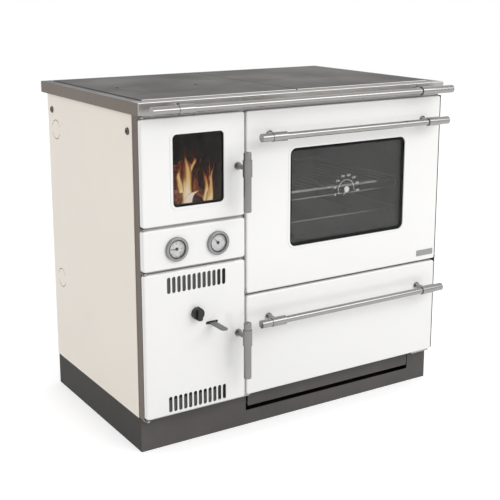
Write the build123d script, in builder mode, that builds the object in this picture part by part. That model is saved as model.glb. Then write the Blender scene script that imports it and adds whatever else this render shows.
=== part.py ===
from build123d import *
import os
from math import cos, radians, sin

# Wood-fired kitchen cooker with a boiler: firebox and ash pit on the left, oven over
# a wood drawer on the right, steel hob on top. Millimetres. X runs to the right, Y to
# the back, Z up. The origin is on the floor, at the middle of the plinth.

os.makedirs("parts", exist_ok=True)

# ---------------------------------------------------------------- overall sizes
body_width = 900.0
body_depth = 520.0
worktop_height = 850.0
plinth_height = 85.0

# ---------------------------------------------------------------- sheet and running gaps
sheet = 1.5
frame_sheet = 3.0
enamel_skin = 2.0
clear = 0.3            # between faces that pass each other
running = 0.05         # radial, between a pin and its bore

# ---------------------------------------------------------------- top frame and hob
top_frame_height = 29.0
top_overhang_side = 5.0
top_overhang_front = 30.0
top_overhang_back = 40.0
hob_side_band = 27.0
hob_front_band = 36.0
hob_back_band = 22.0
hob_plate_thickness = 10.0
hob_rise = 2.0
hob_ledge = 12.0
lid_diameter = 225.0
lid_flange = 10.0

# ---------------------------------------------------------------- front
front_frame_depth = 27.0
front_frame_ahead = 15.0
door_ahead = 30.0
door_depth = 12.0
pan_corner = 6.0
pan_edge = 4.0
left_door_width = 274.7
left_door_inset = 1.0
column_gap = 5.6
right_door_inset = 4.6
door_gap = 7.4
under_top_gap = 8.8
ash_door_height = 357.1
gauge_panel_height = 97.8
drawer_lift = 10.0
drawer_front_height = 259.5
oven_door_gap = 6.4

# ---------------------------------------------------------------- firebox and boiler
mouth_width = 186.0
mouth_inset = 50.0
jacket_plate = 4.0
firebox_plate = 5.0
water_gap = 21.0
ash_floor_lift = 39.0
grate_thickness = 22.0

# ---------------------------------------------------------------- oven
oven_width = 452.0
oven_height = 347.0
oven_depth = 428.0
oven_above_door_edge = 53.0
window_in_oven_x = (43.65, 41.05)      # window's edges, in from the oven's sides
window_in_oven_z = (48.3, 48.7)
oven_corner = 14.0
oven_sheet = 2.0
flue_inside = 150.5
flue_wall = 3.0
flue_length = 60.0

# ---------------------------------------------------------------- handles
bar_diameter = 17.0
collar_diameter = 23.0
stub_diameter = 20.5
collar_length = 40.0
post_diameter = 12.0
rosette_diameter = 19.0
bar_standoff = 44.0
grip_diameter = 19.0
grip_length = 144.0
grip_above_post = 39.0
shaft_diameter = 10.0

# ---------------------------------------------------------------- gauges
bezel_diameter = 58.5
dial_diameter = 41.0
can_diameter = 49.0

# ---------------------------------------------------------------- derived planes and rows
left, right = -body_width / 2, body_width / 2
front, back = -body_depth / 2, body_depth / 2
frame_face = front - front_frame_ahead
frame_back = frame_face + front_frame_depth
door_face = front - door_ahead
pan_inside = door_face + enamel_skin
pan_back = door_face + door_depth
frame_top = worktop_height - top_frame_height

left_door = (left + left_door_inset, left + left_door_inset + left_door_width)
right_door = (left_door[1] + column_gap, right - right_door_inset)
ash_door_rows = (plinth_height + door_gap, plinth_height + door_gap + ash_door_height)
gauge_rows = (ash_door_rows[1] + door_gap, ash_door_rows[1] + door_gap + gauge_panel_height)
firebox_door_rows = (gauge_rows[1] + door_gap, frame_top - under_top_gap)
drawer_rows = (plinth_height + drawer_lift, plinth_height + drawer_lift + drawer_front_height)
oven_door_rows = (drawer_rows[1] + oven_door_gap, frame_top - under_top_gap)

mouth = (left + mouth_inset, left + mouth_inset + mouth_width)
firebox_mouth = (firebox_door_rows[0] + 23.0, firebox_door_rows[1] - 22.0)
ash_mouth = (ash_door_rows[0] + 57.0, ash_door_rows[1] - 64.4)
gauge_mouth = (gauge_rows[0] + 13.6, gauge_rows[1] - 12.0)
oven_middle = (right_door[0] + right_door[1]) / 2 + 1.5
oven_mouth = (oven_middle - oven_width / 2, oven_middle + oven_width / 2)
oven_floor = oven_door_rows[0] + oven_above_door_edge
oven_mouth_rows = (oven_floor, oven_floor + oven_height)
notch = (right_door[0] + 14.7, right - 65.4)
notch_bottom = 38.0
bay_rows = (plinth_height, drawer_rows[0] + 220.0)

# Hinge pins stand in the middle of the pan's thickness, close to its edge, so that
# the edge clears the frame as the door turns.
hinge_inset = 5.5
hinge_y = (door_face + pan_back) / 2
hinge_pin_diameter = 6.0
lug_thickness = 4.0
post_y = door_face - bar_standoff


def write(piece, name):
    piece.label = name
    export_step(piece, f"parts/{name}.step")


def facing(y):
    """Sketch plane seen from the front: X to the right, Z up, extruding towards the cook."""
    return Plane.XZ.offset(-y)


def rect(x, z, radius=0.0, mode=Mode.ADD):
    """Rectangle between two pairs of edges, in the sketch that is open."""
    with Locations(((x[0] + x[1]) / 2, (z[0] + z[1]) / 2)):
        if radius > 0:
            RectangleRounded(x[1] - x[0], z[1] - z[0], radius, mode=mode)
        else:
            Rectangle(x[1] - x[0], z[1] - z[0], mode=mode)


def grown(pair, by):
    return (pair[0] - by, pair[1] + by)


def plate(x, y, z, radius=0.0, mode=Mode.ADD):
    """Plate seen from the front, with rounded corners, added to the part that is open."""
    with BuildSketch(facing(y[1])) as outline:
        rect(x, z, radius)
    extrude(outline.sketch, amount=y[1] - y[0], mode=mode)


def slab(x, y, z, radius=0.0, mode=Mode.ADD):
    """Slab seen from above, with rounded corners, added to the part that is open."""
    with BuildSketch(Plane.XY.offset(z[0])) as outline:
        rect(x, y, radius)
    extrude(outline.sketch, amount=z[1] - z[0], mode=mode)


def ring(x, y, z, wall, radius=0.0, mode=Mode.ADD):
    """Upright wall round the inside of an outline seen from above."""
    with BuildSketch(Plane.XY.offset(z[0])) as outline:
        rect(x, y, radius)
        rect(grown(x, -wall), grown(y, -wall), max(radius - wall, 0), mode=Mode.SUBTRACT)
    extrude(outline.sketch, amount=z[1] - z[0], mode=mode)


def mouth_wall(x, y, z, wall, radius=0.0, mode=Mode.ADD):
    """Wall round the outside of an opening seen from the front."""
    with BuildSketch(facing(y[1])) as outline:
        rect(grown(x, wall), grown(z, wall), radius + wall if radius else 0)
        rect(x, z, radius, mode=Mode.SUBTRACT)
    extrude(outline.sketch, amount=y[1] - y[0], mode=mode)


def rod(centre, radius, y, mode=Mode.ADD):
    """Round bar along Y, by its X and Z centre."""
    with BuildSketch(facing(y[1])) as outline:
        with Locations(centre):
            Circle(radius)
    extrude(outline.sketch, amount=y[1] - y[0], mode=mode)


def upright(centre, radius, z, mode=Mode.ADD):
    """Round bar along Z, by its X and Y centre."""
    with BuildSketch(Plane.XY.offset(z[0])) as outline:
        with Locations(centre):
            Circle(radius)
    extrude(outline.sketch, amount=z[1] - z[0], mode=mode)


def lying(centre, radius, x, mode=Mode.ADD):
    """Round bar along X, by its Y and Z centre."""
    with BuildSketch(Plane.YZ.offset(x[0])) as outline:
        with Locations(centre):
            Circle(radius)
    extrude(outline.sketch, amount=x[1] - x[0], mode=mode)


# ================================================================ carcass

# Plinth: folded tray with a return flange, notched in front for the wood drawer.
plinth_sheet = 2.0
plinth_flange = 20.0
with BuildPart() as plinth:
    slab((left, right), (front, back), (0, plinth_height))
    slab(
        grown((left, right), -plinth_sheet), grown((front, back), -plinth_sheet),
        (plinth_sheet, plinth_height - plinth_sheet), mode=Mode.SUBTRACT,
    )
    slab(
        grown((left, right), -plinth_flange), grown((front, back), -plinth_flange),
        (plinth_height - plinth_sheet, plinth_height), mode=Mode.SUBTRACT,
    )
    slab(notch, (front, front + plinth_flange), (notch_bottom, plinth_height), mode=Mode.SUBTRACT)
write(plinth.part, "plinth")

# Floor sheet under the boiler, lying on the plinth's flanges.
floor_sheet = 3.0
bay_wall = (left_door[1] + 12.0, left_door[1] + 15.0)
body_floor = plinth_height + floor_sheet
post_leg = (20.0, 30.0)
post_sheet = 3.0
post_inset = 2.0
with BuildPart() as floor_plate:
    slab((left + post_inset + post_leg[0] + clear, bay_wall[0] - clear),
         (frame_back + clear, back - 2.0), (plinth_height, body_floor))
write(floor_plate.part, "floor_plate")

# Corner posts: four folded angles that carry the side panels and the back.
back_sheet_y = back + 2.0
panel_rear = back + 5.0
with BuildPart() as corner_posts:
    for side, low_y in ((-1, frame_back + clear), (1, frame_back + clear),
                        (-1, back_sheet_y - post_leg[1]), (1, back_sheet_y - post_leg[1])):
        outer = side * (body_width / 2 - post_inset)
        across = tuple(sorted((outer, outer - side * post_leg[0])))
        skin = tuple(sorted((outer, outer - side * post_sheet)))
        face = (low_y, low_y + post_sheet) if low_y < 0 else (
            low_y + post_leg[1] - post_sheet, low_y + post_leg[1])
        slab(skin, (low_y, low_y + post_leg[1]), (plinth_height, frame_top))
        slab(across, face, (plinth_height, frame_top))
write(corner_posts.part, "corner_posts")

# Side panels: enamelled sheet with folded top, bottom and rear edges, and two scored
# knock-outs for pipes that leave sideways.
panel_front = frame_back
knockout_rows = (worktop_height - 121.5, worktop_height - 530.0)
knockout_y = back - 47.0
knockout_diameter = 52.0
score_width = 1.6
score_depth = 0.9
screw_rows_y = (front + 34.0, back - 24.0)
screw_z = worktop_height - 70.5
screw_shank = 6.0


def side_panel(side):
    outer = side * body_width / 2
    skin = tuple(sorted((outer, outer - side * sheet)))
    fold = tuple(sorted((outer, outer - side * 15.0)))
    rows = (plinth_height, frame_top)
    with BuildPart() as panel:
        slab(skin, (panel_front, panel_rear), rows)
        slab(fold, (panel_rear - sheet, panel_rear), rows)
        between_posts = (frame_back + clear + post_leg[1] + 1.0, back_sheet_y - post_leg[1] - 1.0)
        slab(fold, between_posts, (rows[1] - sheet, rows[1]))
        slab(fold, between_posts, (rows[0], rows[0] + sheet))
        for row in knockout_rows:
            with BuildSketch(Plane.YZ.offset(outer)) as score:
                with Locations((knockout_y, row)):
                    Circle(knockout_diameter / 2)
                    Circle(knockout_diameter / 2 - score_width, mode=Mode.SUBTRACT)
                    Rectangle(knockout_diameter + 2, knockout_diameter / 3, mode=Mode.SUBTRACT)
            extrude(score.sketch, amount=-side * score_depth, mode=Mode.SUBTRACT)
        for y in screw_rows_y:
            lying((y, screw_z), screw_shank / 2, grown(skin, 0.1), mode=Mode.SUBTRACT)
    return panel.part


write(side_panel(-1), "side_panel_left")
write(side_panel(1), "side_panel_right")

# Panel screws: domed heads outside, shanks through the panel and the post's edge.
screw_head = 18.0
screw_head_height = 3.0
with BuildPart() as panel_screws:
    for side in (-1, 1):
        for y in screw_rows_y:
            outer = side * body_width / 2
            with BuildSketch(Plane.YZ.offset(outer)) as head:
                with Locations((y, screw_z)):
                    Circle(screw_head / 2)
            extrude(head.sketch, amount=side * screw_head_height, taper=25)
            with BuildSketch(Plane.YZ.offset(outer + side * screw_head_height)) as socket:
                with Locations((y, screw_z)):
                    RegularPolygon(3.4, 6)
            extrude(socket.sketch, amount=-side * 2.0, mode=Mode.SUBTRACT)
            shank = tuple(sorted((outer, outer - side * 1.9)))
            lying((y, screw_z), screw_shank / 2 - running, shank)
write(panel_screws.part, "panel_screws")

# Front frame: folded steel, one mouth for each bay, with a wall folded in round each.
wall = 2.0
frame_rows = (plinth_height, frame_top)
frame_sides = grown((left, right), -1.0)
latch_slot = (13.0, 49.0)
latch_x = left_door[1] - 20.4
latch_rows = (firebox_door_rows[1] - 128.0, ash_door_rows[0] + 173.6)
latch_slot_drop = 11.8
drawer_mouth = (notch[0] + 2.0, notch[1] + 2.0)
mouths = (
    (mouth, firebox_mouth, 0.0),
    (grown(mouth, 5.0), gauge_mouth, 0.0),
    (mouth, ash_mouth, 0.0),
    (grown(oven_mouth, -oven_sheet), grown(oven_mouth_rows, -oven_sheet), oven_corner),
)
with BuildPart() as front_frame:
    plate(frame_sides, (frame_face, frame_back), frame_rows)
    plate(grown(frame_sides, -wall), (frame_face + frame_sheet, frame_back),
          grown(frame_rows, -wall), mode=Mode.SUBTRACT)
    for x, z, radius in mouths:
        mouth_wall(x, (frame_face, frame_back), z, wall, radius)
    mouth_wall(drawer_mouth, (frame_face, frame_back), bay_rows, wall)
    for x, z, radius in mouths:
        plate(x, (frame_face, frame_back), z, radius, mode=Mode.SUBTRACT)
    plate(drawer_mouth, (frame_face, frame_back), (plinth_height - wall, bay_rows[1]),
          mode=Mode.SUBTRACT)
    slab((left, right), (frame_face, frame_back), (plinth_height - 5.0, plinth_height),
         mode=Mode.SUBTRACT)
    for row in latch_rows:
        plate((latch_x - latch_slot[0] / 2, latch_x + latch_slot[0] / 2), (frame_face, frame_back),
              (row - latch_slot_drop - latch_slot[1] / 2, row - latch_slot_drop + latch_slot[1] / 2),
              3.0, mode=Mode.SUBTRACT)
write(front_frame.part, "front_frame")

# Back: one sheet with holes for the flue and the two boiler sockets.
jacket_sides = (left + 26.0, mouth[1] + firebox_plate + water_gap + jacket_plate)
jacket_front = frame_back + 24.0
jacket_back = back - 34.0
socket_rows = knockout_rows
socket_x = left + 90.0
socket_radius = 21.0
socket_bore = 15.15
socket_ahead = 12.0
flue_x = right - 130.0
flue_z = worktop_height - 120.0
flue_outer = flue_inside / 2 + flue_wall
with BuildPart() as back_panel:
    plate(grown((left, right), -2.0), (back_sheet_y, back_sheet_y + sheet),
          (plinth_height + 1.0, frame_top - 1.0))
    rod((flue_x, flue_z), flue_outer + 2.0, (back_sheet_y, back_sheet_y + sheet), mode=Mode.SUBTRACT)
    for row in socket_rows:
        rod((socket_x, row), socket_radius + 2.0, (back_sheet_y, back_sheet_y + sheet),
            mode=Mode.SUBTRACT)
write(back_panel.part, "back_panel")

# ================================================================ boiler and firebox

# Water jacket: outer U of plate, open at the front and at the top.
jacket_top = worktop_height - hob_plate_thickness + hob_rise - frame_sheet - clear
smoke_way = (jacket_front + 120.0, jacket_back - 80.0)
smoke_rows = (jacket_top - 64.0, jacket_top - 14.0)
with BuildPart() as water_jacket:
    slab(jacket_sides, (jacket_front, jacket_back), (body_floor, jacket_top))
    slab(grown(jacket_sides, -jacket_plate), (jacket_front, jacket_back - jacket_plate),
         (body_floor, jacket_top), mode=Mode.SUBTRACT)
    slab((jacket_sides[1] - jacket_plate, jacket_sides[1]), smoke_way, smoke_rows, mode=Mode.SUBTRACT)
    for row in socket_rows:
        rod((socket_x, row), socket_radius, (jacket_back - jacket_plate, jacket_back), mode=Mode.SUBTRACT)
write(water_jacket.part, "water_jacket")

# Firebox: inner U of plate with the ash floor, the top rim that closes the water
# space, the ledges for the grate, and the smoke neck towards the oven.
firebox_outer = (mouth[0] - firebox_plate, mouth[1] + firebox_plate)
firebox_rear = jacket_back - jacket_plate - water_gap
water_sides = grown(jacket_sides, -jacket_plate)
water_rear = jacket_back - jacket_plate
ash_floor = plinth_height + ash_floor_lift
grate_ledge = (12.0, 8.0)
grate_bottom = firebox_mouth[0] - 55.0
with BuildPart() as firebox:
    slab(firebox_outer, (jacket_front, firebox_rear), (ash_floor, jacket_top))
    slab(water_sides, (jacket_front, water_rear), (jacket_top - firebox_plate, jacket_top))
    slab(water_sides, (jacket_front, water_rear), (ash_floor - firebox_plate, ash_floor))
    slab((firebox_outer[1], water_sides[1]), grown(smoke_way, 4.0), grown(smoke_rows, 4.0))
    slab(mouth, (jacket_front, firebox_rear - firebox_plate), (ash_floor, jacket_top),
         mode=Mode.SUBTRACT)
    slab((mouth[1], water_sides[1]), smoke_way, smoke_rows, mode=Mode.SUBTRACT)
    for x in ((mouth[0], mouth[0] + grate_ledge[0]), (mouth[1] - grate_ledge[0], mouth[1])):
        slab(x, (jacket_front + 4.0, firebox_rear - firebox_plate),
             (grate_bottom - grate_ledge[1], grate_bottom))
write(firebox.part, "firebox")

# Firebox front: casting with a throat round each mouth, between frame and boiler.
throat = 6.0
with BuildPart() as firebox_front:
    plate(jacket_sides, (jacket_front - throat, jacket_front), (body_floor, jacket_top))
    plate(mouth, (jacket_front - throat, jacket_front), firebox_mouth, mode=Mode.SUBTRACT)
    plate(mouth, (jacket_front - throat, jacket_front), ash_mouth, mode=Mode.SUBTRACT)
    mouth_wall(mouth, (frame_back, jacket_front), firebox_mouth, throat)
    mouth_wall(mouth, (frame_back, jacket_front), ash_mouth, throat)
write(firebox_front.part, "firebox_front")

# Grate: cast frame with bars, lying on the ledges.
grate_slot = (9.0, 165.0)
grate_slots = 9
with BuildPart() as grate:
    slab(grown(mouth, -2.0), (jacket_front + 6.0, firebox_rear - firebox_plate - 2.0),
         (grate_bottom, grate_bottom + grate_thickness), 4.0)
    middle = (jacket_front + 6.0 + firebox_rear - firebox_plate - 2.0) / 2
    with BuildSketch(Plane.XY.offset(grate_bottom)) as slots:
        with Locations(((mouth[0] + mouth[1]) / 2, middle)):
            with GridLocations((mouth_width - 20.0) / grate_slots, grate_slot[1] + 22.0, grate_slots, 2):
                Rectangle(*grate_slot)
    extrude(slots.sketch, amount=grate_thickness, mode=Mode.SUBTRACT)
write(grate.part, "grate")

# Ash pan: folded sheet with a lipped front, standing on the ash floor.
ash_pan_height = 82.0
with BuildPart() as ash_pan:
    pan_x, pan_y = grown(mouth, -6.0), (jacket_front + 8.0, firebox_rear - 30.0)
    slab(pan_x, pan_y, (ash_floor, ash_floor + ash_pan_height))
    slab(grown(pan_x, -sheet), grown(pan_y, -sheet), (ash_floor + sheet, ash_floor + ash_pan_height),
         mode=Mode.SUBTRACT)
    slab(grown(pan_x, -30.0), (pan_y[0] - 14.0, pan_y[0]),
         (ash_floor + ash_pan_height - 2.0, ash_floor + ash_pan_height))
    slab(grown(pan_x, -30.0), (pan_y[0] - 14.0, pan_y[0] - 12.0),
         (ash_floor + ash_pan_height - 14.0, ash_floor + ash_pan_height))
write(ash_pan.part, "ash_pan")

# Boiler sockets for the flow and return pipes.
with BuildPart() as boiler_sockets:
    for row in socket_rows:
        span = (water_rear, back_sheet_y + socket_ahead)
        rod((socket_x, row), socket_radius, span)
        rod((socket_x, row), socket_bore, span, mode=Mode.SUBTRACT)
write(boiler_sockets.part, "boiler_sockets")

# ================================================================ oven and flue

# Drawer bay: bridge of sheet that carries the oven casing over the wood drawer.
bay_right = (notch[1] + 6.0, notch[1] + 9.0)
bay_top = drawer_rows[1] - 8.0
bay_y = (frame_back, back - 4.0)
with BuildPart() as drawer_bay:
    slab((bay_wall[0], bay_right[1]), bay_y, (plinth_height, bay_top))
    slab((bay_wall[1], bay_right[0]), bay_y, (plinth_height, bay_top - floor_sheet),
         mode=Mode.SUBTRACT)
write(drawer_bay.part, "drawer_bay")

# Oven casing: open-topped box of sheet that leads the smoke round the oven.
casing_x = (left_door[1] + 25.0, right - 25.0)
casing_y = (frame_back + 12.0, back - 20.0)
with BuildPart() as oven_casing:
    slab(casing_x, casing_y, (bay_top, jacket_top))
    slab(grown(casing_x, -frame_sheet), grown(casing_y, -frame_sheet), (bay_top + frame_sheet, jacket_top),
         mode=Mode.SUBTRACT)
    plate(oven_mouth, (casing_y[0], casing_y[0] + frame_sheet), oven_mouth_rows, oven_corner + oven_sheet,
          mode=Mode.SUBTRACT)
    slab((jacket_sides[1], casing_x[0]), grown(smoke_way, frame_sheet), grown(smoke_rows, frame_sheet))
    slab((jacket_sides[1], casing_x[0] + frame_sheet), smoke_way, smoke_rows, mode=Mode.SUBTRACT)
    rod((flue_x, flue_z), flue_inside / 2, (casing_y[1] - frame_sheet, casing_y[1]), mode=Mode.SUBTRACT)
write(oven_casing.part, "oven_casing")

# Oven: enamelled box with rounded corners and pressed rack guides on both sides.
oven_y = (frame_back, frame_back + oven_depth)
guide_rows = (85.0, 165.0, 245.0)
guide = (7.0, 5.0)
with BuildPart() as oven_box:
    plate(oven_mouth, oven_y, oven_mouth_rows, oven_corner + oven_sheet)
    plate(grown(oven_mouth, -oven_sheet), (oven_y[0], oven_y[1] - oven_sheet),
          grown(oven_mouth_rows, -oven_sheet), oven_corner, mode=Mode.SUBTRACT)
    for row in guide_rows:
        for x in ((oven_mouth[0] + oven_sheet, oven_mouth[0] + oven_sheet + guide[0]),
                  (oven_mouth[1] - oven_sheet - guide[0], oven_mouth[1] - oven_sheet)):
            slab(x, grown(oven_y, -14.0),
                 (oven_mouth_rows[0] + row, oven_mouth_rows[0] + row + guide[1]))
write(oven_box.part, "oven_box")

# Oven rack: welded wire shelf on the upper guides.
rack_wire = 3.0
rack_rail = 6.0
rack_x = grown(oven_mouth, -oven_sheet - 2.0)
rack_y = (oven_y[0] + 16.0, oven_y[1] - 20.0)
rack_z = oven_mouth_rows[0] + guide_rows[1] + guide[1]
rack_wires = 15
with BuildPart() as oven_rack:
    with BuildSketch(Plane.XY.offset(rack_z)) as border:
        rect(rack_x, rack_y, 12.0)
        rect(grown(rack_x, -rack_rail), grown(rack_y, -rack_rail), 6.0, mode=Mode.SUBTRACT)
    extrude(border.sketch, amount=rack_rail)
    spread = rack_x[1] - rack_x[0] - 2 * rack_rail
    for index in range(rack_wires):
        x = rack_x[0] + rack_rail + spread * (index + 1) / (rack_wires + 1)
        slab((x - rack_wire / 2, x + rack_wire / 2), grown(rack_y, -rack_rail / 2),
             (rack_z + rack_rail - rack_wire, rack_z + rack_rail))
write(oven_rack.part, "oven_rack")

# Baking tray: pressed sheet with a rolled rim that rides on the lower guides.
tray_depth = 38.0
tray_rim = 12.0
tray_z = oven_mouth_rows[0] + guide_rows[0] + guide[1]
with BuildPart() as oven_tray:
    tray_y = (rack_y[0] + 4.0, rack_y[1])
    well_x, well_y = grown(rack_x, -tray_rim), grown(tray_y, -tray_rim)
    slab(rack_x, tray_y, (tray_z, tray_z + sheet), 14.0)
    slab(well_x, well_y, (tray_z - tray_depth, tray_z + sheet), 18.0)
    slab(grown(well_x, -sheet), grown(well_y, -sheet), (tray_z - tray_depth + sheet, tray_z + sheet),
         16.0, mode=Mode.SUBTRACT)
write(oven_tray.part, "oven_tray")

# Flue collar: spigot for the stove pipe, flanged against the casing.
with BuildPart() as flue_collar:
    rod((flue_x, flue_z), flue_outer, (casing_y[1], casing_y[1] + flue_length))
    rod((flue_x, flue_z), flue_outer + 12.0, (casing_y[1], casing_y[1] + frame_sheet))
    rod((flue_x, flue_z), flue_inside / 2, (casing_y[1], casing_y[1] + flue_length), mode=Mode.SUBTRACT)
write(flue_collar.part, "flue_collar")

# ================================================================ top

# Top frame: brushed steel, folded down outside, with a sunk ledge for the hob plates.
top_x = grown((left, right), top_overhang_side)
top_y = (front - top_overhang_front, back + top_overhang_back)
hob_x = (top_x[0] + hob_side_band, top_x[1] - hob_side_band)
hob_y = (top_y[0] + hob_front_band, top_y[1] - hob_back_band)
hob_bottom = worktop_height + hob_rise - hob_plate_thickness
hob_middle = 0.0
with BuildPart() as top_frame:
    slab(top_x, top_y, (worktop_height - frame_sheet, worktop_height), 4.0)
    ring(top_x, top_y, (frame_top, worktop_height), frame_sheet, 4.0)
    ring(grown(hob_x, frame_sheet), grown(hob_y, frame_sheet),
         (hob_bottom - frame_sheet, worktop_height), frame_sheet)
    slab(hob_x, hob_y, (hob_bottom - frame_sheet, worktop_height), mode=Mode.SUBTRACT)
    ring(hob_x, hob_y, (hob_bottom - frame_sheet, hob_bottom), hob_ledge)
    slab((hob_middle - hob_ledge, hob_middle + hob_ledge), hob_y, (hob_bottom - frame_sheet, hob_bottom))
    fillet(top_frame.faces().sort_by(Axis.Z)[-1].outer_wire().edges(), 1.5)
write(top_frame.part, "top_frame")

# Hob plates: two steel plates that meet at the middle, the left one with the lid hole.
lid_centre = (left + 190.0, front + 255.0)
lid_step = hob_plate_thickness * 0.6
plate_rows = (hob_bottom, worktop_height + hob_rise)
with BuildPart() as hob_plate_left:
    slab((hob_x[0] + clear, hob_middle - clear), grown(hob_y, -clear), plate_rows, 3.0)
    upright(lid_centre, lid_diameter / 2 + 0.5, (plate_rows[1] - lid_step, plate_rows[1]),
            mode=Mode.SUBTRACT)
    upright(lid_centre, lid_diameter / 2 - lid_flange + 0.5, plate_rows, mode=Mode.SUBTRACT)
    chamfer(hob_plate_left.faces().sort_by(Axis.Z)[-1].outer_wire().edges(), 1.5)
write(hob_plate_left.part, "hob_plate_left")

with BuildPart() as hob_plate_right:
    slab((hob_middle + clear, hob_x[1] - clear), grown(hob_y, -clear), plate_rows, 3.0)
    chamfer(hob_plate_right.faces().sort_by(Axis.Z)[-1].outer_wire().edges(), 1.5)
write(hob_plate_right.part, "hob_plate_right")

# Hob lid: stepped disc with two notches for the lifting hook.
notch_turns = (-8.0, 172.0)
with BuildPart() as hob_lid:
    upright(lid_centre, lid_diameter / 2, (plate_rows[1] - lid_step + clear, plate_rows[1]))
    upright(lid_centre, lid_diameter / 2 - lid_flange,
            (plate_rows[0], plate_rows[1] - lid_step + clear))
    for turn in notch_turns:
        reach = lid_diameter / 2 - 7.0
        spot = (lid_centre[0] + reach * cos(radians(turn)), lid_centre[1] + reach * sin(radians(turn)))
        upright(spot, 5.0, (plate_rows[1] - 3.0, plate_rows[1]), mode=Mode.SUBTRACT)
write(hob_lid.part, "hob_lid")

# ================================================================ handles


def bar_handle(x, z, root_y, posts):
    """Round bar with thicker ends in two collars, each on a post with a rosette."""
    centre = (root_y - bar_standoff, z)
    with BuildPart() as handle:
        for post in posts:
            rod((post, z), rosette_diameter / 2, (root_y - 3.0, root_y))
            rod((post, z), post_diameter / 2, (root_y - bar_standoff, root_y))
            lying(centre, collar_diameter / 2, grown((post, post), collar_length / 2))
        for post in posts:
            lying(centre, bar_diameter / 2 + running, grown((post, post), collar_length / 2),
                  mode=Mode.SUBTRACT)
        lying(centre, bar_diameter / 2, x)
        stub = collar_length / 2 + clear
        lying(centre, stub_diameter / 2, (x[0], posts[0] - stub))
        lying(centre, stub_diameter / 2, (posts[1] + stub, x[1]))
    return handle.part


# Rail along the front of the worktop.
rail_z = worktop_height - 15.0
rail_x = grown((left, right), -7.5)
rail_posts = grown((left, right), -94.0)
write(bar_handle(rail_x, rail_z, top_y[0], rail_posts), "top_rail")

# ================================================================ doors


def enamel_pan(x, z, depth=door_depth):
    """Pressed and enamelled pan, open at the back, with a soft front edge."""
    with BuildPart() as pan:
        plate(x, (door_face, door_face + depth), z, pan_corner)
        fillet(pan.faces().sort_by(Axis.Y)[0].edges(), pan_edge)
        plate(grown(x, -enamel_skin), (pan_inside, door_face + depth), grown(z, -enamel_skin),
              pan_corner - enamel_skin, mode=Mode.SUBTRACT)
    return pan.part


def window(x, z, radius, rim, rim_height):
    """Window hole with a raised rim, in the pan that is open."""
    with BuildSketch(facing(door_face)) as border:
        rect(grown(x, rim), grown(z, rim), radius + rim)
    extrude(border.sketch, amount=rim_height, taper=30)
    plate(x, (door_face - rim_height, pan_inside), z, radius, mode=Mode.SUBTRACT)


def rope(x, z, width, y, radius):
    """Closed rope gasket, by the middle line of its run."""
    with BuildPart() as seal:
        with BuildSketch(facing(y[1])) as outline:
            rect(grown(x, width / 2), grown(z, width / 2), radius + width / 2)
            rect(grown(x, -width / 2), grown(z, -width / 2), radius - width / 2, mode=Mode.SUBTRACT)
        extrude(outline.sketch, amount=y[1] - y[0])
    return seal.part


def rope_groove(x, z, width, y, radius):
    """Groove for a rope gasket, in the liner that is open."""
    with BuildSketch(facing(y[1])) as outline:
        rect(grown(x, width / 2), grown(z, width / 2), radius + width / 2)
        rect(grown(x, -width / 2), grown(z, -width / 2), radius - width / 2, mode=Mode.SUBTRACT)
    extrude(outline.sketch, amount=y[1] - y[0], mode=Mode.SUBTRACT)


liner_back = pan_back + 2.0
seal_width = 8.0
seal_depth = 5.0
seal_y = (liner_back - seal_depth, frame_face - clear)
seal_corner = 10.0
shaft_hole = shaft_diameter / 2 + running
pin_hole = hinge_pin_diameter / 2 + running
left_hinge_x = left_door[0] + hinge_inset
left_liner = (left_door[0] + 11.0, left_door[1] - 4.7)
ear_inset = 4.5
pin_hold = 16.0
pin_reach = 6.0


def hinge_ears(rows):
    """Ears of a left door's liner, with the upright hinge pins that they hold."""
    ends = ((rows[0] + ear_inset, rows[0] + pin_hold, rows[0] - pin_reach),
            (rows[1] - ear_inset, rows[1] - pin_hold, rows[1] + pin_reach))
    for near, far, tip in ends:
        ear = tuple(sorted((near, far)))
        slab((left_door[0] + enamel_skin + 0.5, left_liner[0]), (pan_inside + 0.1, hinge_y + 3.5), ear)
        upright((left_hinge_x, hinge_y), hinge_pin_diameter / 2, tuple(sorted((far, tip))))


# ---------------------------------------------------------------- firebox door
firebox_window = (left + 80.6, left + 217.1)
firebox_window_rows = (firebox_door_rows[0] + 40.4, firebox_door_rows[1] - 39.5)
firebox_window_corner = 11.0
glass_lap = 8.0
glass_thickness = 4.0
firebox_seal = grown(mouth, 9.0)
firebox_seal_rows = grown(firebox_mouth, 9.0)
shaft_end = frame_face + 12.0

with BuildPart() as firebox_door_panel:
    add(enamel_pan(left_door, firebox_door_rows))
    window(firebox_window, firebox_window_rows, firebox_window_corner, 7.0, 1.2)
    rod((latch_x, latch_rows[0]), shaft_hole, (door_face, pan_inside), mode=Mode.SUBTRACT)
    upright((left_hinge_x, hinge_y), pin_hole, firebox_door_rows, mode=Mode.SUBTRACT)
write(firebox_door_panel.part, "firebox_door_panel")

firebox_liner_rows = grown(firebox_door_rows, -enamel_skin - 1.0)
firebox_glass_x = grown(firebox_window, glass_lap)
firebox_glass_rows = grown(firebox_window_rows, glass_lap)
with BuildPart() as firebox_door_frame:
    plate(left_liner, (pan_inside, liner_back), firebox_liner_rows, 3.0)
    plate(firebox_glass_x, (pan_inside, pan_inside + glass_thickness), firebox_glass_rows, 4.0,
          mode=Mode.SUBTRACT)
    plate(grown(firebox_window, -4.0), (pan_inside, liner_back), grown(firebox_window_rows, -4.0), 6.0,
          mode=Mode.SUBTRACT)
    rope_groove(firebox_seal, firebox_seal_rows, seal_width, (liner_back - seal_depth, liner_back),
                seal_corner)
    rod((latch_x, latch_rows[0]), shaft_hole, (pan_inside, liner_back), mode=Mode.SUBTRACT)
    hinge_ears(firebox_door_rows)
write(firebox_door_frame.part, "firebox_door_frame")

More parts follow.
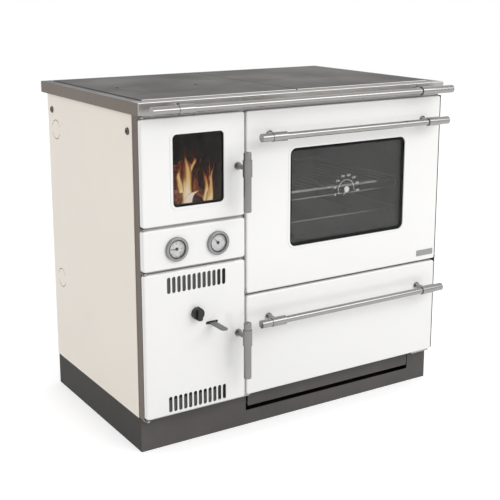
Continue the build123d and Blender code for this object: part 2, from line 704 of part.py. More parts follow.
with BuildPart() as firebox_door_glass:
    plate(firebox_glass_x, (pan_inside, pan_inside + glass_thickness), firebox_glass_rows, 4.0)
write(firebox_door_glass.part, "firebox_door_glass")

write(rope(firebox_seal, firebox_seal_rows, seal_width, seal_y, seal_corner), "firebox_door_seal")


def turn_handle(row):
    """Hanging grip with a collar, its post, rosette and the shaft through the door."""
    with BuildPart() as grip:
        rod((latch_x, row), rosette_diameter / 2, (door_face - 3.0 - clear, door_face - clear))
        rod((latch_x, row), post_diameter / 2, (post_y, door_face - clear))
        rod((latch_x, row), shaft_diameter / 2, (door_face - 1.0, shaft_end - 6.0))
        rod((latch_x, row), shaft_diameter / 2 - 1.5, (shaft_end - 6.0, shaft_end))
        upright((latch_x, post_y), grip_diameter / 2,
                (row + grip_above_post - grip_length, row + grip_above_post))
        upright((latch_x, post_y), collar_diameter / 2,
                (row - collar_length / 2, row + collar_length / 2))
        ends = grip.faces().filter_by(Axis.Z)
        fillet(ends.sort_by(Axis.Z)[-1].edges(), 3.0)
        fillet(ends.sort_by(Axis.Z)[0].edges(), 1.2)
    return grip.part


def latch(row):
    """Flat tongue keyed on the shaft's end, pointing down behind the frame."""
    with BuildPart() as tongue:
        with BuildSketch(facing(shaft_end)) as outline:
            with Locations((latch_x, row - 12.0)):
                SlotOverall(34.0, 10.0, rotation=90)
            with Locations((latch_x, row)):
                Circle(5.5)
                Circle(shaft_diameter / 2 - 1.5, mode=Mode.SUBTRACT)
        extrude(outline.sketch, amount=6.0)
    return tongue.part


write(turn_handle(latch_rows[0]), "firebox_handle")
write(latch(latch_rows[0]), "firebox_latch")

# ---------------------------------------------------------------- ash door
vent_slots = 12
vent_slot_width = 9.6
vent_pitch = 13.6
vent_length = 40.0
edge_slot_y = (1.1, 3.3)
vent_middle = left + 140.2
vent_rows = (ash_door_rows[1] - 32.2, ash_door_rows[0] + 27.2)
lever_x = left + 180.8
lever_z = ash_door_rows[1] - 142.9
lever_width = 17.6
lever_slot = (34.3, 8.0)
knob_centre = (left + 138.8, ash_door_rows[1] - 111.6)
knob_radius = 15.0
knob_shaft = 3.0
shutter_throw = 6.8
shutter_covers = 10        # vents of each row behind which the shutter stands at rest
shutter_strip = 12.0
first_vent = vent_middle - (vent_slots - 1) / 2 * vent_pitch
shutter_x = (first_vent - vent_slot_width / 2 - shutter_strip - 2.0,
             first_vent + (shutter_covers - 0.5) * vent_pitch)
guide_x = (left + 46.0, left + 222.4)
shutter_rows = (ash_door_rows[0] + 3.6, ash_door_rows[1] - 7.6)
shutter_window_rows = (vent_rows[1] + vent_length / 2 - 8.7, lever_z - 35.2)
shutter_y = (pan_inside + clear, pan_inside + clear + 2.0)
disc_radius = 34.0
disc_y = (shutter_y[1] + 1.4, shutter_y[1] + 2.9)
ash_plate_front = disc_y[1] + clear

with BuildPart() as ash_door_panel:
    add(enamel_pan(left_door, ash_door_rows))
    with BuildSketch(facing(pan_inside)) as vents:
        for row in vent_rows:
            with Locations((vent_middle, row)):
                with GridLocations(vent_pitch, 1.0, vent_slots, 1):
                    SlotOverall(vent_length, vent_slot_width, rotation=90)
        with Locations((lever_x, lever_z)):
            SlotOverall(lever_slot[0], lever_slot[1])
        with Locations(knob_centre):
            Circle(knob_shaft + running)
        with Locations((latch_x, latch_rows[1])):
            Circle(shaft_hole)
    extrude(vents.sketch, amount=enamel_skin, mode=Mode.SUBTRACT)
    for x in ((27.0, 87.0), (106.0, 166.0), (189.0, 247.0)):
        slab((left + x[0], left + x[1]), (door_face + edge_slot_y[0], door_face + edge_slot_y[1]),
             (ash_door_rows[1] - pan_edge, ash_door_rows[1]), mode=Mode.SUBTRACT)
    for low, high, lip in (
        (shutter_rows[1] + clear, shutter_rows[1] + clear + 2.0, -5.0),
        (shutter_rows[0] - clear - 1.2, shutter_rows[0] - clear, 5.0),
    ):
        slab(guide_x, (pan_inside, shutter_y[1] + clear + 1.0), (low, high))
        edge = low if lip < 0 else high
        slab(guide_x, (shutter_y[1] + clear, shutter_y[1] + clear + 1.0),
             tuple(sorted((edge, edge + lip))))
    upright((left_hinge_x, hinge_y), pin_hole, ash_door_rows, mode=Mode.SUBTRACT)
write(ash_door_panel.part, "ash_door_panel")

# Air shutter: slotted plates behind both rows of vents, joined by a strip at the left,
# with the flat lever that reaches out through the door. At rest its webs stand behind
# all vents but the last two; a small shift brings its slots in line with them.
lever_reach = 62.0
with BuildPart() as air_shutter:
    plate(shutter_x, shutter_y, shutter_rows, 3.0)
    with BuildSketch(facing(shutter_y[1])) as gaps:
        for row in vent_rows:
            with Locations((first_vent + (shutter_covers - 1) / 2 * vent_pitch, row)):
                with GridLocations(vent_pitch, 1.0, shutter_covers - 1, 1):
                    Rectangle(vent_pitch - vent_slot_width - 1.0, vent_length - 2.0)
        with Locations((knob_centre[0], knob_centre[1])):
            SlotOverall(2 * shutter_throw + 12.0, 9.0)
        rect((shutter_x[0] + shutter_strip, shutter_x[1] + 1.0), shutter_window_rows)
    extrude(gaps.sketch, amount=shutter_y[1] - shutter_y[0], mode=Mode.SUBTRACT)
    with BuildSketch(Plane.XY.offset(lever_z - 1.5)) as lever:
        with Locations((lever_x, (shutter_y[0] + door_face - lever_reach) / 2)):
            SlotOverall(shutter_y[0] - door_face + lever_reach + lever_width / 2, lever_width, rotation=90)
        rect((lever_x - lever_width, lever_x + lever_width), (shutter_y[0], shutter_y[0] + 20.0),
             mode=Mode.SUBTRACT)
    extrude(lever.sketch, amount=3.0)
write(air_shutter.part, "air_shutter")

# Liner of the ash door: rimmed plate with three air ports behind the rotary disc.
ash_seal = grown(mouth, 9.0)
ash_seal_rows = grown(ash_mouth, 9.0)
port_ring = 22.0
ash_liner_rows = grown(ash_door_rows, -enamel_skin - 1.0)
with BuildPart() as ash_door_liner:
    plate(left_liner, (ash_plate_front, liner_back), ash_liner_rows, 3.0)
    for x in ((left_liner[0], left_liner[0] + 4.0), (left_liner[1] - 4.0, left_liner[1])):
        plate(x, (pan_inside, ash_plate_front), grown(ash_liner_rows, -6.0))
    rope_groove(ash_seal, ash_seal_rows, seal_width, (liner_back - seal_depth + 1.0, liner_back), seal_corner)
    with BuildSketch(facing(liner_back)) as ports:
        with Locations(knob_centre):
            with PolarLocations(port_ring, 3, start_angle=90):
                SlotOverall(18.0, 12.0)
        with Locations(knob_centre):
            Circle(knob_shaft + running)
        with Locations((latch_x, latch_rows[1])):
            Circle(shaft_hole)
    extrude(ports.sketch, amount=liner_back - ash_plate_front, mode=Mode.SUBTRACT)
    hinge_ears(ash_door_rows)
write(ash_door_liner.part, "ash_door_liner")

ash_seal_y = (liner_back - seal_depth + 1.0, frame_face - clear)
write(rope(ash_seal, ash_seal_rows, seal_width, ash_seal_y, seal_corner), "ash_door_seal")
write(turn_handle(latch_rows[1]), "ash_handle")
write(latch(latch_rows[1]), "ash_latch")

# Draught knob: moulded cap with a grip ridge, its shaft, and the rotary air disc.
knob_height = 21.0
knob_cap = 14.0
knob_ridge = (13.0, 2 * knob_radius + 1.0)
with BuildPart() as draught_knob:
    rod(knob_centre, knob_radius, (door_face - knob_cap, door_face - 1.0))
    fillet(draught_knob.faces().sort_by(Axis.Y)[0].edges(), 1.5)
    with BuildSketch(facing(door_face - 1.0)) as ridge:
        with Locations(knob_centre):
            RectangleRounded(*knob_ridge, 4.0)
    extrude(ridge.sketch, amount=knob_height - 1.0)
    fillet(draught_knob.faces().sort_by(Axis.Y)[0].edges(), 1.5)
    with BuildSketch(facing(door_face - 1.0)) as pointer:
        with Locations((knob_centre[0], knob_centre[1] + knob_radius)):
            Circle(2.2)
    extrude(pointer.sketch, amount=knob_height, mode=Mode.SUBTRACT)
    rod(knob_centre, knob_shaft, (door_face - 1.0, liner_back - 1.0))
    rod(knob_centre, disc_radius, disc_y)
    with BuildSketch(facing(disc_y[1])) as ports:
        with Locations(knob_centre):
            with PolarLocations(port_ring, 3, start_angle=30):
                SlotOverall(18.0, 12.0)
    extrude(ports.sketch, amount=disc_y[1] - disc_y[0], mode=Mode.SUBTRACT)
write(draught_knob.part, "draught_knob")

# ---------------------------------------------------------------- gauge panel
gauge_z = (gauge_rows[0] + gauge_rows[1]) / 2 - 2.3
gauge_centres = ((left + 87.5, gauge_z), (left + 198.7, gauge_z))
can_depth = 36.0
bezel_height = 7.5
with BuildPart() as gauge_panel:
    add(enamel_pan(left_door, gauge_rows, frame_face - door_face))
    for centre in gauge_centres:
        rod(centre, can_diameter / 2 + clear, (door_face, pan_inside), mode=Mode.SUBTRACT)
write(gauge_panel.part, "gauge_panel")


def gauge_case(centre):
    """Can with a turned bezel whose inside slopes down to the glass."""
    with BuildPart() as case:
        rod(centre, can_diameter / 2, (door_face, door_face + can_depth))
        rod(centre, bezel_diameter / 2, (door_face - bezel_height, door_face))
        fillet(case.faces().sort_by(Axis.Y)[0].edges(), 2.5)
        rod(centre, dial_diameter / 2, (glass_y[0], door_face + can_depth - 2.0), mode=Mode.SUBTRACT)
        with BuildSketch(facing(glass_y[0])) as cone:
            with Locations(centre):
                Circle(dial_diameter / 2)
        extrude(cone.sketch, amount=bezel_height, taper=-45, mode=Mode.SUBTRACT)
    return case.part


glass_y = (door_face - 4.8, door_face - 3.6)
needle_hole = 1.0
needle_root = 1.2
gauge_hub = 3.9
dial_y = (door_face - 1.0, door_face)
with BuildPart() as gauge_cases:
    for centre in gauge_centres:
        add(gauge_case(centre))
write(gauge_cases.part, "gauge_cases")

with BuildPart() as gauge_dials:
    for centre in gauge_centres:
        rod(centre, dial_diameter / 2, dial_y)
        rod(centre, needle_hole + running, dial_y, mode=Mode.SUBTRACT)
write(gauge_dials.part, "gauge_dials")

with BuildPart() as gauge_glasses:
    for centre in gauge_centres:
        rod(centre, dial_diameter / 2, glass_y)
write(gauge_glasses.part, "gauge_glasses")


def needle(centre, angle, length, hub, y, pin_y):
    """Pointer with a round hub and a pin; the angle is from the right, anticlockwise."""
    tip = (centre[0] + length * cos(radians(angle)), centre[1] + length * sin(radians(angle)))
    with BuildPart() as pointer:
        with BuildSketch(facing(y[1])) as outline:
            with Locations(centre):
                Circle(hub)
            with BuildLine():
                across = radians(angle + 90)
                root = (needle_root * cos(across), needle_root * sin(across))
                Polyline((centre[0] + root[0], centre[1] + root[1]), tip,
                         (centre[0] - root[0], centre[1] - root[1]), close=True)
            make_face()
        extrude(outline.sketch, amount=y[1] - y[0])
        rod(centre, needle_hole, (y[1], pin_y))
    return pointer.part


needle_y = (door_face - 2.2, door_face - 1.5)
for centre, angle, name in zip(gauge_centres, (183.0, 133.0), ("thermometer_needle", "pressure_needle")):
    write(needle(centre, angle, 17.5, gauge_hub, needle_y, door_face + 4.0), name)

# ---------------------------------------------------------------- oven door
oven_window = (oven_mouth[0] + window_in_oven_x[0], oven_mouth[1] - window_in_oven_x[1])
oven_window_rows = (oven_mouth_rows[0] + window_in_oven_z[0], oven_mouth_rows[1] - window_in_oven_z[1])
oven_hinge_z = oven_door_rows[0] + hinge_inset
oven_liner_x = grown(right_door, -5.0)
oven_liner_rows = (oven_door_rows[0] + 11.0, oven_door_rows[1] - 4.0)
oven_glass_x = grown(oven_window, 12.0)
oven_glass_rows = grown(oven_window_rows, 12.0)
oven_window_corner = 17.0
oven_seal = grown(oven_mouth, 8.0)
oven_seal_rows = grown(oven_mouth_rows, 8.0)
oven_handle_z = oven_door_rows[1] - 59.3
oven_handle_x = grown(right_door, -13.5)
oven_handle_posts = (oven_handle_x[0] + 50.0, oven_handle_x[1] - 50.0)

with BuildPart() as oven_door_panel:
    add(enamel_pan(right_door, oven_door_rows))
    window(oven_window, oven_window_rows, oven_window_corner, 6.0, 1.0)
    lying((hinge_y, oven_hinge_z), pin_hole, right_door, mode=Mode.SUBTRACT)
write(oven_door_panel.part, "oven_door_panel")

inner_glass_y = (liner_back - 3.2, liner_back)
liner_sheet = 2.0
seal_half = seal_width / 2
with BuildPart() as oven_door_liner:
    plate(oven_liner_x, (pan_inside, liner_back), oven_liner_rows, 3.0)
    # Folded hollow behind the rim, the rope channel and the window frame.
    with BuildSketch(facing(liner_back - liner_sheet)) as hollows:
        rect(grown(oven_liner_x, -liner_sheet), grown(oven_liner_rows, -liner_sheet))
        rect(grown(oven_seal, seal_half + liner_sheet), grown(oven_seal_rows, seal_half + liner_sheet),
             seal_corner, mode=Mode.SUBTRACT)
        rect(grown(oven_seal, -seal_half - liner_sheet), grown(oven_seal_rows, -seal_half - liner_sheet))
        rect(grown(oven_glass_x, liner_sheet), grown(oven_glass_rows, liner_sheet), mode=Mode.SUBTRACT)
    extrude(hollows.sketch, amount=liner_back - liner_sheet - pan_inside, mode=Mode.SUBTRACT)
    with BuildSketch(facing(liner_back - seal_depth - liner_sheet)) as channel:
        rect(grown(oven_seal, seal_half + 3 * liner_sheet), grown(oven_seal_rows, seal_half + 3 * liner_sheet))
        rect(grown(oven_seal, -seal_half - 3 * liner_sheet),
             grown(oven_seal_rows, -seal_half - 3 * liner_sheet), mode=Mode.SUBTRACT)
    extrude(channel.sketch, amount=liner_back - seal_depth - liner_sheet - pan_inside, mode=Mode.SUBTRACT)
    plate(grown(oven_window, -8.0), (pan_inside, liner_back), grown(oven_window_rows, -8.0), 8.0,
          mode=Mode.SUBTRACT)
    plate(oven_glass_x, (pan_inside, pan_inside + glass_thickness), oven_glass_rows, 4.0,
          mode=Mode.SUBTRACT)
    plate(oven_window, inner_glass_y, oven_window_rows, 4.0, mode=Mode.SUBTRACT)
    rope_groove(oven_seal, oven_seal_rows, seal_width, (liner_back - seal_depth, liner_back), seal_corner)
    for x in ((oven_liner_x[0], oven_liner_x[0] + 12.0), (oven_liner_x[1] - 12.0, oven_liner_x[1])):
        slab(x, (pan_inside + 0.1, hinge_y + 3.5),
             (oven_door_rows[0] + enamel_skin + 0.5, oven_liner_rows[0] + liner_sheet))
    lying((hinge_y, oven_hinge_z), hinge_pin_diameter / 2, (right_door[0] - 4.6, right_door[0] + 15.0))
    lying((hinge_y, oven_hinge_z), hinge_pin_diameter / 2, (right_door[1] - 15.0, right_door[1] + 3.6))
write(oven_door_liner.part, "oven_door_liner")

with BuildPart() as oven_door_glass:
    plate(oven_glass_x, (pan_inside, pan_inside + glass_thickness), oven_glass_rows, 4.0)
write(oven_door_glass.part, "oven_door_glass")

with BuildPart() as oven_inner_glass:
    plate(oven_window, inner_glass_y, oven_window_rows, 4.0)
write(oven_inner_glass.part, "oven_inner_glass")

write(rope(oven_seal, oven_seal_rows, seal_width, seal_y, seal_corner), "oven_door_seal")

write(bar_handle(oven_handle_x, oven_handle_z, door_face, oven_handle_posts), "oven_handle")

# Bare metal plate at the oven door's lower right corner.
badge_x = (right_door[1] - 66.7, right_door[1] - 8.9)
badge_rows = (oven_door_rows[0] + 14.1, oven_door_rows[0] + 30.1)
with BuildPart() as oven_badge:
    plate(badge_x, (door_face - 1.0, door_face), badge_rows, 1.0)
write(oven_badge.part, "oven_badge")

# Oven thermometer: a small case between the two glasses, with its pointer.
stat_centre = (oven_window[0] + 182.5, oven_window_rows[0] + 126.0)
glazing_gap = inner_glass_y[0] - pan_inside - glass_thickness
stat_case_y = (inner_glass_y[0] - glazing_gap / 2.4, inner_glass_y[0])
with BuildPart() as oven_thermometer:
    rod(stat_centre, 7.5, stat_case_y)
    rod(stat_centre, needle_hole + running, stat_case_y, mode=Mode.SUBTRACT)
write(oven_thermometer.part, "oven_thermometer")
stat_needle_y = (stat_case_y[0] - 1.1, stat_case_y[0] - clear)
write(needle(stat_centre, 233.0, 19.0, 3.2, stat_needle_y, stat_case_y[1] - clear),
      "oven_thermometer_needle")

# ---------------------------------------------------------------- hinge lugs
with BuildPart() as hinge_lugs:
    for middle in (firebox_door_rows[0] - 3.7, firebox_door_rows[1] + 3.7,
                   ash_door_rows[0] - 3.7, ash_door_rows[1] + 3.7):
        with BuildSketch(Plane.XY.offset(middle - lug_thickness / 2)) as lug:
            with Locations((left_hinge_x, hinge_y)):
                Circle(hinge_inset)
            rect((left_hinge_x - hinge_inset, left_hinge_x + hinge_inset), (hinge_y, frame_face))
            with Locations((left_hinge_x, hinge_y)):
                Circle(pin_hole, mode=Mode.SUBTRACT)
        extrude(lug.sketch, amount=lug_thickness)
    for low, thickness in ((right_door[0] - 4.6, 3.6), (right_door[1] + 0.8, 2.8)):
        with BuildSketch(Plane.YZ.offset(low)) as lug:
            with Locations((hinge_y, oven_hinge_z)):
                Circle(hinge_inset)
            rect((hinge_y, frame_face), (oven_hinge_z - hinge_inset, oven_hinge_z + hinge_inset))
            with Locations((hinge_y, oven_hinge_z)):
                Circle(pin_hole, mode=Mode.SUBTRACT)
        extrude(lug.sketch, amount=thickness)
write(hinge_lugs.part, "hinge_lugs")

# Edge strip: steel flat standing on the frame's face, beside the right-hand pans, with
# a break for the oven door's lug.
strip_depth = 12.0
strip_sheet = 3.0
strip_rows = (drawer_rows[0] + 3.0, oven_door_rows[1] + 1.0)
with BuildPart() as edge_strip:
    for z in ((strip_rows[0], oven_hinge_z - hinge_inset - clear),
              (oven_hinge_z + hinge_inset + clear, strip_rows[1])):
        slab((frame_sides[1] - strip_sheet, frame_sides[1]), (frame_face - strip_depth, frame_face), z)
write(edge_strip.part, "edge_strip")

# ---------------------------------------------------------------- wood drawer
box_x = grown(drawer_mouth, -6.0)
box_rear = back - 90.0
box_bottom = notch_bottom + 14.0
box_top = drawer_rows[0] + 205.0
box_sheet = 1.5
box_flange = 5.0
step_z = drawer_rows[0] + enamel_skin + 0.5
low_front = front + sheet
with BuildPart() as drawer_front:
    add(enamel_pan(right_door, drawer_rows))
write(drawer_front.part, "drawer_front")

with BuildPart() as drawer_box:
    slab(box_x, (pan_inside, box_rear), (step_z, box_top))
    slab(box_x, (low_front, box_rear), (box_bottom, box_top))
    slab(grown(box_x, -box_sheet), (pan_inside + box_sheet, box_rear - box_sheet),
         (step_z + box_sheet, box_top), mode=Mode.SUBTRACT)
    slab(grown(box_x, -box_sheet), (low_front + box_sheet, box_rear - box_sheet),
         (box_bottom + box_sheet, box_top), mode=Mode.SUBTRACT)
    for x in ((box_x[0] - box_flange, box_x[0]), (box_x[1], box_x[1] + box_flange)):
        slab(x, (frame_back + 8.0, box_rear), (box_top - box_sheet, box_top))
write(drawer_box.part, "drawer_box")

# Dark kick plate that closes the plinth's notch and moves with the drawer.
kick_x = (notch[0] + 6.0, notch[1] - 2.6)
with BuildPart() as drawer_kick:
    plate(kick_x, (front, low_front), (notch_bottom + 11.5, plinth_height + 8.5))
write(drawer_kick.part, "drawer_kick")

drawer_handle_z = drawer_rows[0] + 197.0
write(bar_handle(oven_handle_x, drawer_handle_z, door_face, oven_handle_posts), "drawer_handle")

# Runners: shelves on the bay's walls that carry the drawer box by its flanges.
runner_z = box_top - box_sheet - clear
with BuildPart() as drawer_runners:
    for x in ((bay_wall[1], box_x[0] - clear), (box_x[1] + clear, bay_right[0])):
        slab(x, (frame_back + 2.0, back - 10.0), (runner_z - 3.0, runner_z))
        web = (x[0], x[0] + 2.0) if x[0] == bay_wall[1] else (x[1] - 2.0, x[1])
        slab(web, (frame_back + 2.0, back - 10.0), (runner_z - 24.0, runner_z))
write(drawer_runners.part, "drawer_runners")
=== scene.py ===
# Wood-fired kitchen cooker with a boiler, in white enamel: firebox, gauges and ash pit on
# the left, oven over a wood drawer on the right, steel hob on top. Metres; X runs to the
# right, Y to the back, Z up, and the doors face -Y.
import random
from math import cos, pi, radians, sin, tau

import bpy
from mathutils import Matrix, Vector, noise


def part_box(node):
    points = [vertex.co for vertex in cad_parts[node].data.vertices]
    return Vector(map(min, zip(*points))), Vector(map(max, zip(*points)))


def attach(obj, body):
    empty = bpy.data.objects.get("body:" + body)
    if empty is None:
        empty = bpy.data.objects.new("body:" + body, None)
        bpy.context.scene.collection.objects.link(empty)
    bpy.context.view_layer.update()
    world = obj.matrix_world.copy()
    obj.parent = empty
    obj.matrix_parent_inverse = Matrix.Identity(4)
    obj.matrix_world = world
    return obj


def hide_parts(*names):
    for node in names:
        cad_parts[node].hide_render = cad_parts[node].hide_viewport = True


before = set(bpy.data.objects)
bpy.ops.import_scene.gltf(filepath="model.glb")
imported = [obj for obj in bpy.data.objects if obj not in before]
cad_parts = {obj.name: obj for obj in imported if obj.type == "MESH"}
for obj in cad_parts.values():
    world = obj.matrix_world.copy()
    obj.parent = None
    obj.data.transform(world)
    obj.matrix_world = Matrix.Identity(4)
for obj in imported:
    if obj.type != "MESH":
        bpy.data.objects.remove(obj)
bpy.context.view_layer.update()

# ---------------------------------------------------------------- plinth and kick plate
# Folded steel tray that the cooker stands on, powder-coated dark grey. The kick plate
# closes its notch and is screwed under the wood drawer.


def add(tree, kind, wires=None, **settings):
    """One shader node: its settings, and the values or wires of its inputs."""
    made = tree.nodes.new("ShaderNode" + kind)
    for name, value in settings.items():
        setattr(made, name, value)
    for socket, value in (wires or {}).items():
        if isinstance(value, bpy.types.NodeSocket):
            tree.links.new(value, made.inputs[socket])
        else:
            made.inputs[socket].default_value = value
    return made


def calc(how, a, b=0.0, c=0.0):
    """A sum on two or three values, of which one or more are wires."""
    wire = next(value for value in (a, b, c) if isinstance(value, bpy.types.NodeSocket))
    return add(wire.id_data, "Math", {0: a, 1: b, 2: c}, operation=how).outputs[0]


def scaled(colour, by):
    """A colour made lighter or darker."""
    return add(colour.id_data, "VectorMath", {0: colour, "Scale": by}, operation="SCALE").outputs[0]


def between(value, low, high, start=0.0, end=1.0):
    """The value's place from low to high, as start to end."""
    wires = {0: value, 1: low, 2: high, 3: start, 4: end}
    return add(value.id_data, "MapRange", wires).outputs[0]


def surface(tree, what="Object"):
    """A point's place on the piece in metres, its normal or its chart."""
    return add(tree, "TexCoord").outputs[what]


def axes(vector):
    """The three measures of a vector."""
    return add(vector.id_data, "SeparateXYZ", {0: vector}).outputs


def cloud(tree, scale, detail=2.0, where=None):
    """Soft noise over the piece, by its place in metres."""
    return add(tree, "TexNoise", {"Vector": where or surface(tree), "Scale": scale,
                                  "Detail": detail}).outputs["Fac"]


def swing(tree, low, scale, detail=2.0, where=None):
    """Soft noise from -1 to 1; the nearer low is to a half, the harder its patches."""
    return between(cloud(tree, scale, detail, where), low, 1.0 - low, -1.0, 1.0)


def effect(name, given, made=("Colour", "Roughness", "Height")):
    """An empty node group with named inputs and outputs."""
    tree = bpy.data.node_groups.new(name, "ShaderNodeTree")
    kinds = {float: "NodeSocketFloat", tuple: "NodeSocketColor", Vector: "NodeSocketVector"}
    for label, value in given.items():
        socket = tree.interface.new_socket(label, in_out="INPUT", socket_type=kinds[type(value)])
        socket.default_value = value
    for label in made:
        kind = "NodeSocketColor" if label in ("Colour", "Glow") else "NodeSocketFloat"
        tree.interface.new_socket(label, in_out="OUTPUT", socket_type=kind)
    return tree, tree.nodes.new("NodeGroupInput").outputs, tree.nodes.new("NodeGroupOutput").inputs


def give(out, **results):
    """Wires an effect's results to its outputs."""
    for label, value in results.items():
        value.id_data.links.new(value, out[label])


def finish(name, look, values, bump=0.0, plain=None):
    """A material whose shader takes its colour, roughness and relief from an effect, and
    its plain settings as they are. The bump is the relief's height in metres."""
    material = bpy.data.materials.new(name)
    material.use_nodes = True
    tree = material.node_tree
    shader = tree.nodes["Principled BSDF"]
    for socket, value in (plain or {}).items():
        shader.inputs[socket].default_value = value
    group = tree.nodes.new("ShaderNodeGroup")
    group.node_tree = look
    for socket, value in values.items():
        group.inputs[socket].default_value = value
    ends = {"Colour": "Base Color", "Roughness": "Roughness", "Alpha": "Alpha",
            "Glow": "Emission Color"}
    for socket in group.outputs:
        if socket.name in ends:
            tree.links.new(socket, shader.inputs[ends[socket.name]])
    if bump:
        relief = add(tree, "Bump", {"Height": group.outputs["Height"], "Distance": bump})
        tree.links.new(relief.outputs[0], shader.inputs["Normal"])
    return material


def coat(material, *nodes):
    """Gives CAD nodes their material."""
    for node in nodes:
        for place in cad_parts[node].material_slots:
            place.link = "OBJECT"
            place.material = material


# The front factor makes faces that look forward lighter than the rest: painted light.
powder_coat, given, out = effect(
    "powder coat", {"Colour": (0.1, 0.1, 0.1, 1.0), "Grain": 900.0, "Mottle": 0.1, "Sheen": 0.5,
                    "Front": 1.0})
grain = cloud(powder_coat, given["Grain"], 3.0)
patches = swing(powder_coat, 0.3, 9.0, 4.0)
speckle = between(grain, 0.35, 0.65, -0.5, 0.5)
shade = calc("ADD", patches, speckle)
shade = calc("MULTIPLY_ADD", shade, given["Mottle"], 1.0)
# Painted light: faces that look forward are made lighter by the front factor.
ahead = between(axes(surface(powder_coat, "Normal"))[1], -0.5, -0.9)
front = calc("SUBTRACT", given["Front"], 1.0)
front = calc("MULTIPLY_ADD", ahead, front, 1.0)
shade = calc("MULTIPLY", shade, front)
rough = calc("MULTIPLY_ADD", patches, 0.05, given["Sheen"])
give(out, Colour=scaled(given["Colour"], shade), Roughness=rough, Height=grain)

# The plinth's faces that look forward are painted lighter than its sides: painted light.
plinth_grey = (0.053, 0.05, 0.0485, 1.0)
plinth_paint = finish("plinth paint", powder_coat,
                      {"Colour": plinth_grey, "Sheen": 0.5, "Front": 2.05},
                      bump=0.00012, plain={"Specular IOR Level": 0.1})
coat(plinth_paint, "plinth", "drawer_kick")

# ---------------------------------------------------------------- carcass sheets
# Galvanised steel: floor sheet, corner posts, back, drawer bay with its runners, the
# wood drawer's box and the ash pan. The back is screwed to the posts and the frame.
galvanised, given, out = effect(
    "galvanised", {"Colour": (0.5, 0.52, 0.54, 1.0), "Crystals": 70.0, "Stain": 0.2})
spangle = add(galvanised, "TexVoronoi", {"Vector": surface(galvanised),
                                         "Scale": given["Crystals"]})
facet = add(galvanised, "SeparateColor", {0: spangle.outputs["Color"]}).outputs[0]
stains = between(cloud(galvanised, 6.0, 5.0), 0.4, 0.75)
stains = calc("MULTIPLY", stains, given["Stain"])
shade = calc("MULTIPLY_ADD", facet, 0.22, 0.89)
shade = calc("SUBTRACT", shade, stains)
rough = calc("MULTIPLY_ADD", facet, 0.18, 0.38)
give(out, Colour=scaled(given["Colour"], shade), Roughness=rough,
     Height=cloud(galvanised, 300.0))

zinc = finish("galvanised sheet", galvanised, {"Colour": (0.46, 0.475, 0.49, 1.0)},
              bump=0.00008, plain={"Metallic": 0.85})
coat(zinc, "floor_plate", "corner_posts", "back_panel", "drawer_bay", "drawer_runners",
     "drawer_box")
ash_zinc = finish("ash pan sheet", galvanised, {"Colour": (0.3, 0.3, 0.3, 1.0), "Stain": 0.5},
                  bump=0.0001, plain={"Metallic": 0.7})
coat(ash_zinc, "ash_pan")


def piece(name, points, faces, material, body, slot, angle=35.0):
    """A mesh piece that rides on a body, smooth but for edges sharper than the angle."""
    mesh = bpy.data.meshes.new(name)
    mesh.from_pydata([tuple(p) for p in points], [], faces)
    mesh.validate()
    mesh.shade_smooth()
    mesh.set_sharp_from_angle(angle=radians(angle))
    mesh.materials.append(material)
    made = bpy.data.objects.new(name, mesh)
    bpy.context.scene.collection.objects.link(made)
    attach(made, body)
    return made


def skin(rows, loop=False):
    """A skin over rows of points, each a closed ring of as many points. Its two ends are
    closed, or joined to each other if it is a loop."""
    count = len(rows[0])
    points = [p for row in rows for p in row]
    faces = []
    for r in range(len(rows) if loop else len(rows) - 1):
        a, b = r * count, (r + 1) % len(rows) * count
        faces += [(a + i, a + (i + 1) % count, b + (i + 1) % count, b + i) for i in range(count)]
    if not loop:
        faces += [tuple(range(count))[::-1], tuple(range(len(points) - count, len(points)))]
    return points, faces


def together(parts):
    """One list of points and faces from several."""
    points, faces = [], []
    for more_points, more_faces in parts:
        faces += [tuple(i + len(points) for i in face) for face in more_faces]
        points += more_points
    return points, faces


def screw_head(place, out_of, radius):
    """Domed head with a cross recess, on a surface that faces out_of."""
    turn = Vector((0, 0, 1)).rotation_difference(Vector(out_of)).to_matrix()
    count, arm, root, top, recess = 24, 0.52, 0.2, 0.55, 0.18
    dome = [(1.0, 0.0), (1.0, 0.12), (0.86, 0.36), (0.66, 0.5)]
    cross = [arm if i % 6 in (0, 1, 5) else root for i in range(count)]
    shapes = [([r] * count, h) for r, h in dome]
    shapes += [(cross, top), ([c * 0.8 for c in cross], recess)]
    rings = [[Vector(place) + turn @ Vector((radius * s[i] * cos(tau * i / count),
                                             radius * s[i] * sin(tau * i / count), radius * h))
              for i in range(count)] for s, h in shapes]
    return skin(rings)


# Streaks are how often the tool's marks repeat per metre along X, Y and Z, and the shade-behind
# factor is how much darker the steel is painted behind the pan of the door it shows through:
# painted shade.
machined, given, out = effect(
    "machined steel", {"Colour": (0.6, 0.6, 0.6, 1.0), "Streaks": Vector((40.0, 900.0, 900.0)),
                       "Contrast": 0.08, "Polish": 0.3, "Smudge": 0.06, "Shade behind": 0.0})


def stretched(tree, streaks):
    """Places on the piece, drawn out along the marks of the tool."""
    return add(tree, "VectorMath", {0: surface(tree), 1: streaks}, operation="MULTIPLY").outputs[0]


pan_face, pan_inside = -0.2895, -0.2875
streak = swing(machined, 0.25, 1.0, 3.0, stretched(machined, given["Streaks"]))
hands = swing(machined, 0.3, 11.0, 4.0)
shade = calc("MULTIPLY_ADD", streak, given["Contrast"], 1.0)
grease = calc("MULTIPLY", given["Smudge"], -0.7)
shade = calc("MULTIPLY_ADD", hands, grease, shade)
# Painted shade: steel behind the pan's face, seen through its vents, is darkened.
behind = between(axes(surface(machined))[1], pan_face, pan_inside)
shade_behind = calc("MULTIPLY", behind, given["Shade behind"])
shade = calc("MULTIPLY", shade, calc("SUBTRACT", 1.0, shade_behind))
rough = calc("MULTIPLY_ADD", hands, given["Smudge"], given["Polish"])
rough = calc("MULTIPLY_ADD", streak, 0.03, rough)
give(out, Colour=scaled(given["Colour"], shade), Roughness=rough, Height=streak)

